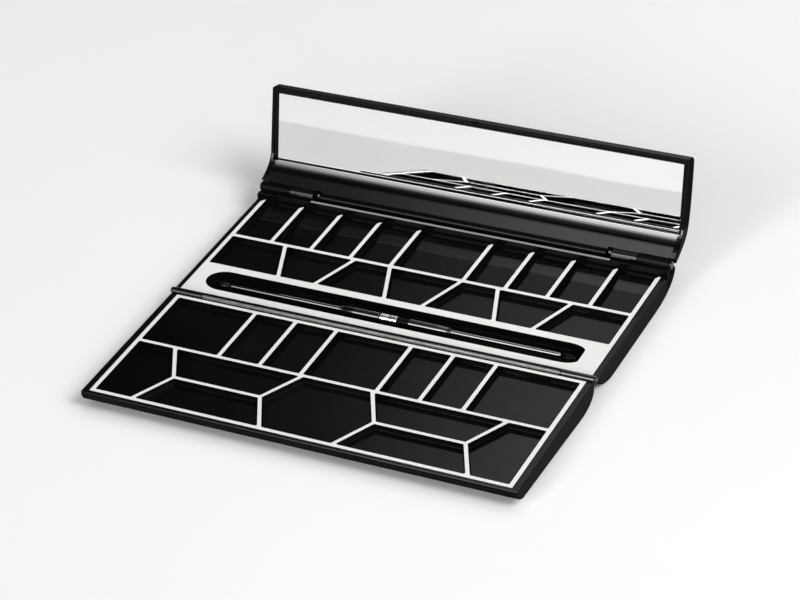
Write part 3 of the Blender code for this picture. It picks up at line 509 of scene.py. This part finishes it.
# ---- detailed pieces: shared mesh code -----------------------------------------------------------
def rounded(outline, radius, steps=5, keep=()):
    """A convex outline with its corners rounded; the corners listed in keep stay sharp."""
    points = []
    count = len(outline)
    for i, corner in enumerate(outline):
        here = Vector(corner)
        if i in keep:
            points.append(here)
            continue
        before = (Vector(outline[i - 1]) - here).normalized()
        after = (Vector(outline[(i + 1) % count]) - here).normalized()
        half = before.angle(after) / 2
        reach = radius / math.tan(half)
        centre = here + (before + after).normalized() * (radius / math.sin(half))
        start = (here + before * reach - centre).normalized()
        end = (here + after * reach - centre).normalized()
        for k in range(steps + 1):
            points.append(centre + start.slerp(end, k / steps) * radius)
    return points


def inset(points, distance):
    """The outline moved inwards; it runs counter-clockwise and its corners are already round."""
    moved = []
    count = len(points)
    for i, here in enumerate(points):
        first = (here - points[i - 1]).normalized()
        second = (points[(i + 1) % count] - here).normalized()
        along = (first + second).normalized()
        inward = Vector((-along.y, along.x))
        stretch = 1.0 / max(0.5, first.dot(along))
        moved.append(here + inward * distance * stretch)
    return moved


def loft(bm, rings, cap_start=True, cap_end=True):
    loops = [[bm.verts.new(p) for p in ring] for ring in rings]
    count = len(loops[0])
    for low, high in zip(loops, loops[1:]):
        for i in range(count):
            j = (i + 1) % count
            bm.faces.new((low[i], low[j], high[j], high[i]))
    if cap_start:
        bm.faces.new(list(reversed(loops[0])))
    if cap_end:
        bm.faces.new(loops[-1])


def prism_x(bm, profile, x0, x1):
    loft(bm, [[Vector((x, y, z)) for y, z in profile] for x in (x0, x1)])


def prism_z(bm, outline, z0, z1):
    loft(bm, [[Vector((x, y, z)) for x, y in outline] for z in (z0, z1)])


def turned(bm, stations, segments, flatten=1.0):
    """A closed form turned about the X axis; stations are (x, radius)."""
    rings = []
    for x, radius in stations:
        angles = [2 * math.pi * i / segments for i in range(segments)]
        ring = [Vector((x, radius * math.cos(a), radius * math.sin(a) * flatten)) for a in angles]
        rings.append(ring)
    loft(bm, rings)


def mesh_from(bm, name):
    bmesh.ops.remove_doubles(bm, verts=bm.verts, dist=1e-8)
    bmesh.ops.recalc_face_normals(bm, faces=bm.faces)
    mesh = bpy.data.meshes.new(name)
    bm.to_mesh(mesh)
    bm.free()
    return mesh


def add_piece(name, bm, materials, body, angle=32.0):
    """Links a finished mesh as a piece that rides on a CAD body, with flat faces kept flat."""
    mesh = mesh_from(bm, name)
    for material in materials:
        mesh.materials.append(material)
    piece = bpy.data.objects.new(name, mesh)
    scene.collection.objects.link(piece)
    smooth(piece, angle)
    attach(piece, body)
    return piece


def smooth(piece, angle):
    piece.data.shade_smooth()
    piece.data.set_sharp_from_angle(angle=math.radians(angle))
    weighted = piece.modifiers.new("weighted_normals", "WEIGHTED_NORMAL")
    weighted.keep_sharp = True
    weighted.weight = 100


def carve(bm, tools):
    """The solid in bm with the solids in tools cut out of it, as a new bmesh."""
    target = bpy.data.objects.new("carve_target", mesh_from(bm, "carve_target"))
    tool = bpy.data.objects.new("carve_tool", mesh_from(tools, "carve_tool"))
    scene.collection.objects.link(target)
    scene.collection.objects.link(tool)
    modifier = target.modifiers.new("carve", "BOOLEAN")
    modifier.operation = "DIFFERENCE"
    modifier.solver = "EXACT"
    modifier.object = tool
    evaluated = target.evaluated_get(bpy.context.evaluated_depsgraph_get())
    result = bmesh.new()
    result.from_mesh(evaluated.to_mesh())
    evaluated.to_mesh_clear()
    for obj in (target, tool):
        mesh = obj.data
        bpy.data.objects.remove(obj)
        bpy.data.meshes.remove(mesh)
    return result


# ---- plans of the wells, in plate millimetres ----------------------------------------------------
def strip_between(left, right, y0, y1):
    """A well between two dividers, each given as the x of its middle line at y0 and at y1."""
    half = DIVIDER / 2
    return [(left[0] + half, y0), (right[0] - half, y0), (right[1] - half, y1), (left[1] + half, y1)]


def row(lines, rows_y):
    return [strip_between(a, b, *rows_y) for a, b in zip(lines, lines[1:])]


def mirrored(points):
    return [(-x, y) for x, y in reversed(points)]


def rear_row():
    return row([(x, x) for x in REAR_EDGES], REAR_ROW_Y)


def middle_row():
    end = REAR_EDGES[-1]
    lines = [(-end, -end)] + [(-front, -back) for back, front in reversed(MIDDLE_SLANTS)]
    lines += [(front, back) for back, front in MIDDLE_SLANTS] + [(end, end)]
    return row(lines, MIDDLE_ROW_Y)


def trench_plan():
    def arc(cx, cy, rx, ry, start, end, steps):
        angles = [math.radians(start + (end - start) * i / steps) for i in range(steps + 1)]
        return [(cx + rx * math.cos(a), cy + ry * math.sin(a)) for a in angles]

    points = arc(-79.3, 10.85, 8.6, 6.95, 90, 270, 28)
    points += arc(78.0, 7.4, 7.7, 3.5, 270, 360, 12)
    points += arc(78.0, 14.3, 7.7, 3.5, 0, 90, 12)
    return points


def front_hinge_row():
    return row([(x, x) for x in FRONT_EDGES], FRONT_HINGE_ROW_Y)


def front_edge_row():
    """A hexagon in the middle, and on each side a rear, a front and an end well."""
    near, far = FRONT_EDGE_ROW_Y
    centre = [(15.45, near), (24.65, -57.8), (15.15, far)]
    hexagon = centre + [(-x, y) for x, y in reversed(centre)]
    back = [(26.2, -56.9), (65.1, -56.9), (74.05, far), (17.25, far)]
    front = [(17.55, near), (73.65, near), (65.1, -58.7), (26.2, -58.7)]
    side = [(75.75, near), (92.2, near), (92.2, far), (76.15, far), (66.65, -57.8)]
    right = [back, front, side]
    return [hexagon] + right + [mirrored(well) for well in right]


def in_metres(points):
    """Plate millimetres to metres in the part's frame."""
    return [Vector((x * MM, y * MM + SHIFT_Y)) for x, y in points]


def well_tool(bm, plan, floor, top, corner=WELL_CORNER, fillet=FLOOR_FILLET):
    """A cutter for one well: upright walls with a little draft and a rounded floor edge."""
    outline = rounded(in_metres(plan), corner) if corner else in_metres(plan)
    levels = [(floor, WELL_DRAFT + fillet)]
    for k in range(1, 5):
        angle = math.radians(90 * k / 5)
        level = floor + fillet * (1 - math.cos(angle))
        levels.append((level, WELL_DRAFT + fillet * (1 - math.sin(angle))))
    levels.append((floor + fillet, WELL_DRAFT))
    levels.append((top - 0.4 * MM, 0.0))
    levels.append((top + TOOL_REACH, 0.0))
    rings = []
    for z, pull in levels:
        rings.append([Vector((p.x, p.y, z)) for p in inset(outline, pull)])
    loft(bm, rings)


# ---- well trays ----------------------------------------------------------------------------------
def block_profile(points):
    return [(y * MM + SHIFT_Y, z * MM) for y, z in points]


def build_base_wells():
    top = BASE_LINER_TOP
    profile = [(0.1, top), (0.1, 7.2), (3.0, 7.2), (3.0, 5.8), (4.5, 4.3), (18.7, 4.3), (18.7, 5.1)]
    profile += [(75.0, 5.1), (75.0, top)]
    bm = bmesh.new()
    prism_x(bm, block_profile(profile), -95.0 * MM, 95.0 * MM)
    tools = bmesh.new()
    for plan in rear_row():
        well_tool(tools, plan, REAR_FLOOR * MM, top * MM)
    for plan in middle_row():
        well_tool(tools, plan, MIDDLE_FLOOR * MM, top * MM)
    well_tool(tools, trench_plan(), TRENCH_FLOOR * MM, top * MM, corner=0.0, fillet=TRENCH_FILLET * MM)
    tray = carve(bm, tools)
    x0, x1 = CRADLE_X
    for y0, y1 in CRADLE_HALVES_Y:
        outline = [(x0, y0), (x1, y0), (x1, y1), (x0, y1)]
        prism_z(tray, in_metres(outline), CRADLE_Z[0] * MM, CRADLE_Z[1] * MM)
    piece = add_piece("base_well_liner", tray, [WELL], "base")
    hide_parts("base_well_tray")


def build_ledges():
    """A shallow ledge along the rear of each rear well, steeper behind its crest."""
    y0, y1, y2 = LEDGE_Y
    crest = LEDGE_FRONT_Z + (y1 - y0) * math.tan(LEDGE_SLOPE)
    rear = crest + (y2 - y1) * math.tan(LEDGE_REAR_SLOPE)
    profile = [(y0, LEDGE_FOOT_Z), (y2, LEDGE_FOOT_Z), (y2, rear), (y1, crest)]
    profile += [(y0 + 0.08, LEDGE_FRONT_Z), (y0, LEDGE_FRONT_Z - 0.08)]
    bm = bmesh.new()
    for plan in rear_row():
        left, right = plan[0][0] + LEDGE_LIP, plan[1][0] - LEDGE_LIP
        prism_x(bm, block_profile(profile), left * MM, right * MM)
    ledges = add_piece("rear_well_ledges", bm, [LEDGE], "base")


def build_front_wells():
    top = FRONT_LINER_TOP
    profile = [(-77.4, top), (-77.4, 7.3), (-76.2, 7.3), (-76.2, 5.5), (-5.7, 5.5), (-5.7, top)]
    bm = bmesh.new()
    prism_x(bm, block_profile(profile), -94.2 * MM, 94.2 * MM)
    tools = bmesh.new()
    for plan in front_hinge_row() + front_edge_row():
        well_tool(tools, plan, FRONT_FLOOR * MM, top * MM)
    piece = add_piece("front_well_liner", carve(bm, tools), [WELL], "front_tray")
    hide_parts("front_well_tray")


# ---- top plates: white film over a black edge ----------------------------------------------------
def opened(plan, keep=()):
    """A window over one well, a little wider than the well itself."""
    return inset(rounded(in_metres(plan), WELL_CORNER, keep=keep), -WINDOW_EXTRA)


def film_tool(bm, outline, film_z):
    low, high = film_z
    prism_z(bm, outline, low * MM - TOOL_REACH, high * MM + TOOL_REACH)


def cut_film(outline, windows, film_z):
    """A film with windows cut through it, as a bmesh."""
    bm = bmesh.new()
    prism_z(bm, outline, film_z[0] * MM, film_z[1] * MM)
    tools = bmesh.new()
    for window in windows:
        film_tool(tools, window, film_z)
    return carve(bm, tools)


def film_piece(name, film, body, node):
    """A finished film, white on top and black elsewhere, in place of the CAD plate."""
    piece = add_piece(name, film, [PLATE, EDGE], body)
    for face in piece.data.polygons:
        face.material_index = 0 if face.normal.z > 0.5 else 1
    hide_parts(node)


def build_base_plate():
    back = REAR_ROW_Y[1]
    windows = []
    for plan in rear_row():
        open_ended = plan[:2] + [(x, y + 1.0) for x, y in plan[2:]]
        windows.append(opened(open_ended, keep=(2, 3)))
    for plan in middle_row():
        windows.append(opened(plan))
    windows.append(in_metres(trench_plan()))
    outline = in_metres([(-95.0, 0.0), (95.0, 0.0), (95.0, back), (-95.0, back)])
    film = cut_film(outline, windows, BASE_FILM_Z)
    tips = bmesh.new()
    for x in REAR_EDGES:
        wedge = [(x - 1.5, 71.9), (x + 0.6, 74.6), (x - 1.5, 74.6)]
        film_tool(tips, in_metres(wedge), BASE_FILM_Z)
    film_piece("base_plate_film", carve(film, tips), "base", "base_top_plate")


def build_front_plate():
    outline = in_metres([(-94.2, -77.4), (94.2, -77.4), (94.2, -4.4), (-94.2, -4.4)])
    windows = [opened(plan) for plan in front_hinge_row() + front_edge_row()]
    film = cut_film(rounded(outline, 0.4 * MM), windows, FRONT_FILM_Z)
    film_piece("front_plate_film", film, "front_tray", "front_top_plate")


# ---- fold hinge ----------------------------------------------------------------------------------
def build_barrel_sleeve():
    """A thin polished sleeve over the visible side of the long middle barrel."""
    half, end = SLEEVE_HALF, 0.08 * MM
    angles = [math.radians(-18 + 216 * i / 24) for i in range(25)]
    bm = bmesh.new()
    rows = []
    for x in (-half, -half + end, half - end, half):
        loop = []
        for a in angles:
            fade = max(0.0, min(1.0, (a - angles[0]) * 4, (angles[-1] - a) * 4))
            lift = 0.03 * MM if abs(x) == half else 0.055 * MM
            r = SLEEVE_RADIUS + lift * fade ** 0.5
            loop.append(bm.verts.new((x, FOLD_AXIS_Y - r * math.cos(a), FOLD_AXIS_Z + r * math.sin(a))))
        rows.append(loop)
    for first, second in zip(rows, rows[1:]):
        for j in range(len(angles) - 1):
            bm.faces.new((first[j], second[j], second[j + 1], first[j + 1]))
    piece = add_piece("fold_barrel_sleeve", bm, [HINGE], "base", angle=80.0)


# ---- mirror sheet --------------------------------------------------------------------------------
LID_Y = 79.8 * MM + SHIFT_Y
LID_Z = 12.4 * MM
LEAN = math.radians(15.6)
MIRROR_TIP = math.radians(1.09)  # the sheet stands that much nearer upright than the lid
MIRROR_TURN = math.radians(0.376)  # and its right end sits a little deeper than its left
MIRROR_HALF = 96.0 * MM
MIRROR_A = (10.25 * MM, 41.0 * MM)  # lower and upper edge, up along the lid
MIRROR_B = 11.24 * MM  # its middle's front face, behind the hinge axis
MIRROR_THICK = 0.5 * MM
MIRROR_WAVE = 0.006 * MM
TAPE_HALF = 92.0 * MM
TAPE_STRIPS = ((12.0 * MM, 18.0 * MM), (33.0 * MM, 39.0 * MM))
TAPE_GAP = 0.03 * MM
TAPE_SEAT = 12.94 * MM  # where the tape meets the lid's frame


def lid_point(x, b, a):
    """A point given in the open lid's own frame: b back from the hinge axis, a up along the lid."""
    y = LID_Y + b * math.cos(LEAN) + a * math.sin(LEAN)
    return Vector((x, y, LID_Z + a * math.cos(LEAN) - b * math.sin(LEAN)))


def mirror_front(x, a):
    """How far back the sheet's front face is at a place on it: tipped, turned and faintly wavy."""
    low, high = MIRROR_A
    arch = math.sin((a - low) / (high - low) * math.pi)
    wave = MIRROR_WAVE * math.sin(x / (31.0 * MM) + 0.6) * arch
    return MIRROR_B - MIRROR_TIP * (a - (low + high) / 2) + MIRROR_TURN * x + wave


def build_mirror_sheet():
    """Acrylic sheet seated slightly tipped on its tape, with a ground edge all round."""
    half, edge = MIRROR_HALF, 0.3 * MM
    low, high = MIRROR_A
    bm = bmesh.new()
    columns, rows = 48, 12
    xs = [-half + edge + (2 * half - 2 * edge) * i / columns for i in range(columns + 1)]
    levels = [low + edge + (high - low - 2 * edge) * j / rows for j in range(rows + 1)]
    grid = [[bm.verts.new(lid_point(x, mirror_front(x, a), a)) for a in levels] for x in xs]
    for i in range(columns):
        for j in range(rows):
            bm.faces.new((grid[i][j], grid[i + 1][j], grid[i + 1][j + 1], grid[i][j + 1]))
    border = [grid[i][0] for i in range(columns + 1)] + [grid[columns][j] for j in range(1, rows + 1)]
    border += [grid[i][rows] for i in range(columns - 1, -1, -1)]
    border += [grid[0][j] for j in range(rows - 1, 0, -1)]
    outline = [(x, low) for x in xs] + [(half, a) for a in levels[1:]]
    outline += [(x, high) for x in reversed(xs[:-1])] + [(-half, a) for a in reversed(levels[1:-1])]
    outline[0] = (-half, low)
    outline[columns] = (half, low)
    outline[columns + rows] = (half, high)
    outline[2 * columns + rows] = (-half, high)
    ground = [bm.verts.new(lid_point(x, mirror_front(x, a) + edge, a)) for x, a in outline]
    back = [bm.verts.new(lid_point(x, mirror_front(x, a) + MIRROR_THICK, a)) for x, a in outline]
    for inner, outer in ((border, ground), (ground, back)):
        for i in range(len(inner)):
            j = (i + 1) % len(inner)
            bm.faces.new((inner[i], inner[j], outer[j], outer[i]))
    bm.faces.new(back)
    piece = add_piece("mirror_sheet", bm, [MIRROR], "lid", angle=25.0)
    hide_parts("mirror")


def build_mirror_tape():
    """Two strips of tape that fill the space between the tipped sheet and the frame."""
    bm = bmesh.new()
    for a0, a1 in TAPE_STRIPS:
        rings = []
        for x in (-TAPE_HALF, TAPE_HALF):
            first = mirror_front(x, a0) + MIRROR_THICK + TAPE_GAP
            second = mirror_front(x, a1) + MIRROR_THICK + TAPE_GAP
            ends = [(first, a0), (TAPE_SEAT, a0), (TAPE_SEAT, a1), (second, a1)]
            rings.append([lid_point(x, b, a) for b, a in ends])
        loft(bm, rings)
    strips = add_piece("mirror_tape_strips", bm, [TAPE], "lid")
    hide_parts("mirror_tape")


# ---- applicator ----------------------------------------------------------------------------------
def turned_piece(name, stations, material, node=None):
    """A turned part of the handle; stations are (x, radius) in millimetres."""
    bm = bmesh.new()
    turned(bm, [(x * MM, r * MM) for x, r in stations], 32)
    for vertex in bm.verts:
        vertex.co += APPLICATOR_AT
    piece = add_piece(name, bm, [material], "applicator", angle=40.0)
    if node:
        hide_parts(node)


def soft_step(x, low, high, width):
    """Stations that roll over a shoulder from radius low to high, starting at x."""
    steps = 4
    out = []
    for k in range(steps + 1):
        a = math.pi / 2 * k / steps
        out.append((x + width * (1 - math.cos(a)), low + (high - low) * math.sin(a)))
    return out


def reversed_step(x, low, high, width):
    return [(2 * x - p, r) for p, r in reversed(soft_step(x, low, high, width))]


def build_handle():
    """Two grips with a grooved end bead each, and the slimmer neck between them."""
    left = [(-23.8, 1.0)] + soft_step(-23.78, 1.05, 1.62, 0.2)
    left += [(-23.1, 1.66), (-22.95, 1.58), (-22.7, 1.58), (-22.5, 1.72), (-18.0, 1.88)]
    left += [(-17.0, 1.9), (-5.7, 1.9)] + reversed_step(-5.38, 1.55, 1.9, 0.2) + [(-5.36, 1.2)]
    right = [(8.12, 1.2), (8.13, 1.55)] + soft_step(8.14, 1.6, 1.9, 0.2)
    right += [(20.0, 1.9), (22.0, 1.88), (25.9, 1.72), (26.1, 1.58), (26.4, 1.58), (26.6, 1.68)]
    right += [(26.95, 1.66)] + reversed_step(27.18, 1.05, 1.62, 0.2) + [(27.2, 1.0)]
    neck = [(-5.35, 1.15), (3.0, 1.16), (3.05, 1.42), (3.3, 1.45), (7.9, 1.45), (8.08, 1.42)]
    neck += [(8.1, 1.15)]
    turned_piece("applicator_grip_left", left, HANDLE, "applicator_handle")
    turned_piece("applicator_grip_right", right, HANDLE)
    turned_piece("applicator_neck", neck, NECK)


def build_collar():
    """The metal band, with one groove round its middle."""
    band = [(-5.08, 1.5), (-5.05, 1.72)] + soft_step(-5.0, 1.78, 1.9, 0.15)
    band += [(-1.5, 1.9), (-1.38, 1.8), (-1.05, 1.8), (-0.93, 1.9), (2.5, 1.9)]
    band += reversed_step(2.72, 1.78, 1.9, 0.15) + [(2.77, 1.72), (2.8, 1.5)]
    turned_piece("applicator_collar", band, BAND, "applicator_band")


def build_foam_tips():
    """Both foam tips: flattened buds, cut off where the stem enters, with a slightly uneven skin."""
    start, length, radius = 76.82, 6.5, 1.66
    neck_angle, nose_angle, steps = 62, 88, 26
    foot = math.sin(math.radians(neck_angle))
    nose = math.sin(math.radians(nose_angle))
    rng = random.Random(7)
    for side, label in ((-1, "left"), (1, "right")):
        stations = []
        for k in range(steps + 1):
            angle = math.radians(-neck_angle + (neck_angle + nose_angle) * (k / steps))
            reach = (math.sin(angle) + foot) / (nose + foot)
            stations.append((side * (start + length * reach), radius * math.cos(angle) ** 0.85 + 0.01))
        bm = bmesh.new()
        turned(bm, [(x * MM, r * MM) for x, r in stations], 40, flatten=0.7)
        for vertex in bm.verts:
            pull = 1.0 - 0.035 * rng.random()
            vertex.co.y *= pull
            vertex.co.z *= pull
            vertex.co += APPLICATOR_AT
        tip = add_piece(f"applicator_sponge_{label}", bm, [SPONGE], "applicator", angle=80.0)
        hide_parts(f"applicator_tip_{label}")


build_base_wells()
build_ledges()
build_front_wells()
build_base_plate()
build_front_plate()
build_barrel_sleeve()
build_mirror_sheet()
build_mirror_tape()
build_handle()
build_collar()
build_foam_tips()


# ---- floor, light and camera ---------------------------------------------------------------------
def build_key_light():
    """A soft square panel to the right, aimed at the middle of the case."""
    light = bpy.data.lights.new("key", "AREA")
    light.shape = "SQUARE"
    light.size = 1.4
    light.energy = 76.0
    holder = bpy.data.objects.new("key", light)
    holder.location = (2.0, -0.5, 1.9)
    holder.rotation_euler = (-Vector(holder.location)).to_track_quat("-Z", "Y").to_euler()
    scene.collection.objects.link(holder)


def build_floor():
    """A plain pale table top under the base tray, with a painted pool of light: a lighter zone in front of
    the case.
    """
    bm = bmesh.new()
    front, far = -0.60, 3.0
    level = -0.02 * MM
    for x, y in ((-far, front), (far, front), (far, far), (-far, far)):
        bm.verts.new((x, y, level))
    bm.faces.new(list(bm.verts))
    mesh = bpy.data.meshes.new("studio_floor")
    bm.to_mesh(mesh)
    bm.free()
    floor = bpy.data.objects.new("studio_floor", mesh)
    scene.collection.objects.link(floor)
    m = Mat("pale_floor")
    cloud = m.noise(3.0, 2.0)
    edge = m.maths("ADD", m.axis("Y"), m.span(m.noise(9.0, 2.0), 0.0, 1.0, -0.02, 0.02))
    # Painted light: the floor's band in front of the case is painted lighter, as a painted pool of light.
    lighter = m.span(edge, -0.350, -0.330, 1.0, 0.0, smooth=True)
    pale = m.mix(m.past(cloud, (0.3, 0.7)), grey(0.70, 0.006), grey(0.72, 0.006))
    m.set("Base Color", m.mix(lighter, pale, grey(0.93, 0.004)))
    m.set("Roughness", m.span(cloud, 0.3, 0.7, 0.85, 0.95))
    m.set("Specular IOR Level", 0.1)
    mesh.materials.append(m.material)


# The surround's brightness. Each sector's first list runs round the X axis, in degrees from the front
# horizon over the top to the back horizon; its second runs along the X component of the direction.
OVERHEAD = [(55, 0.0), (60, 0.5), (66, 0.58), (68, 0.95), (74, 0.95), (78, 0.15), (84, 0.04), (98, 0.04)]
OVERHEAD += [(102, 2.4), (122, 2.4), (136, 1.15), (139.3, 1.0), (142.4, 0.65), (146, 0.4), (179, 0.3)]
OVERHEAD_ALONG = [(-0.48, 0.0), (-0.454, 0.03), (-0.42, 0.07), (-0.40, 0.17), (-0.388, 0.30)]
OVERHEAD_ALONG += [(-0.375, 0.42), (-0.36, 0.57), (-0.34, 0.74), (-0.30, 0.85), (-0.2, 0.6), (1.0, 0.5)]
FRONT_STRIP = [(-180, 0.9), (-0.5, 0.9), (0.5, 0.07), (11, 0.07), (13, 19.0), (17, 18.0), (22, 16.0)]
FRONT_STRIP += [(31, 11.0), (39.5, 5.0), (48, 1.6), (55, 0.2), (60, 0.0)]
FRONT_ALONG = [(-0.50, 0.0), (-0.44, 0.50), (-0.41, 0.84), (-0.385, 1.0), (-0.30, 1.12), (-0.22, 0.5)]
FRONT_ALONG += [(-0.1, 0.15), (1.0, 0.15)]


def build_world():
    """A studio surround: a long bright strip low in front, soft light overhead, dark to the left."""
    world = bpy.data.worlds.new("studio")
    scene.world = world
    world.use_nodes = True
    tree = world.node_tree

    def maths(operation, *values):
        node = tree.nodes.new("ShaderNodeMath")
        node.operation = operation
        for i, value in enumerate(values):
            if isinstance(value, bpy.types.NodeSocket):
                tree.links.new(value, node.inputs[i])
            else:
                node.inputs[i].default_value = value
        return node.outputs[0]

    def profile(value, low, high, levels):
        """Brightness along low..high: value picks a place between the listed (place, level) pairs."""
        peak = max(level for place, level in levels)
        node = tree.nodes.new("ShaderNodeValToRGB")
        tree.links.new(maths("DIVIDE", maths("SUBTRACT", value, low), high - low), node.inputs["Fac"])
        stops = node.color_ramp.elements
        for stop, (place, level) in ((stops[0], levels[0]), (stops[1], levels[-1])):
            stop.position = (place - low) / (high - low)
            stop.color = (level / peak, level / peak, level / peak, 1.0)
        for place, level in levels[1:-1]:
            stop = stops.new((place - low) / (high - low))
            stop.color = (level / peak, level / peak, level / peak, 1.0)
        return maths("MULTIPLY", node.outputs["Color"], peak)

    coordinates = tree.nodes.new("ShaderNodeTexCoord")
    split = tree.nodes.new("ShaderNodeSeparateXYZ")
    tree.links.new(coordinates.outputs["Generated"], split.inputs[0])
    x, y, z = split.outputs
    degrees = maths("DEGREES", maths("ARCTAN2", z, maths("MULTIPLY", y, -1.0)))
    overhead = maths("MULTIPLY", profile(degrees, -180, 180, OVERHEAD), profile(x, -1, 1, OVERHEAD_ALONG))
    along = maths("MAXIMUM", profile(x, -1, 1, FRONT_ALONG), maths("LESS_THAN", z, -0.002))
    front = maths("MULTIPLY", profile(degrees, -180, 180, FRONT_STRIP), along)
    strength = maths("ADD", overhead, front)
    background = tree.nodes["Background"]
    tree.links.new(strength, background.inputs["Strength"])
    background.inputs["Color"].default_value = (1.0, 1.0, 1.0, 1.0)


CAMERA_AZIMUTH = 0.50523  # radians, to the right of straight ahead
CAMERA_ELEVATION = 0.59421
CAMERA_ROLL = -0.09631
CAMERA_TARGET = Vector((-0.00177, -0.01536, 0.0093))
CAMERA_DISTANCE = 1.2146


def build_camera():
    level = math.cos(CAMERA_ELEVATION)
    back = (math.sin(CAMERA_AZIMUTH) * level, -math.cos(CAMERA_AZIMUTH) * level, math.sin(CAMERA_ELEVATION))
    back = Vector(back)
    right = Vector((math.cos(CAMERA_AZIMUTH), math.sin(CAMERA_AZIMUTH), 0.0))
    up = back.cross(right)
    turned_right = math.cos(CAMERA_ROLL) * right + math.sin(CAMERA_ROLL) * up
    raised = -math.sin(CAMERA_ROLL) * right + math.cos(CAMERA_ROLL) * up
    camera = bpy.data.cameras.new("camera")
    camera.sensor_width = 36.0
    camera.lens = 130.5
    camera.clip_start = 0.05
    camera.clip_end = 50.0
    holder = bpy.data.objects.new("camera", camera)
    columns = Matrix((turned_right, raised, back)).transposed().to_4x4()
    holder.matrix_world = Matrix.Translation(CAMERA_TARGET + back * CAMERA_DISTANCE) @ columns
    scene.collection.objects.link(holder)
    scene.camera = holder


build_floor()
build_world()
build_key_light()
build_camera()
scene.view_settings.view_transform = "Standard"
scene.view_settings.look = "None"
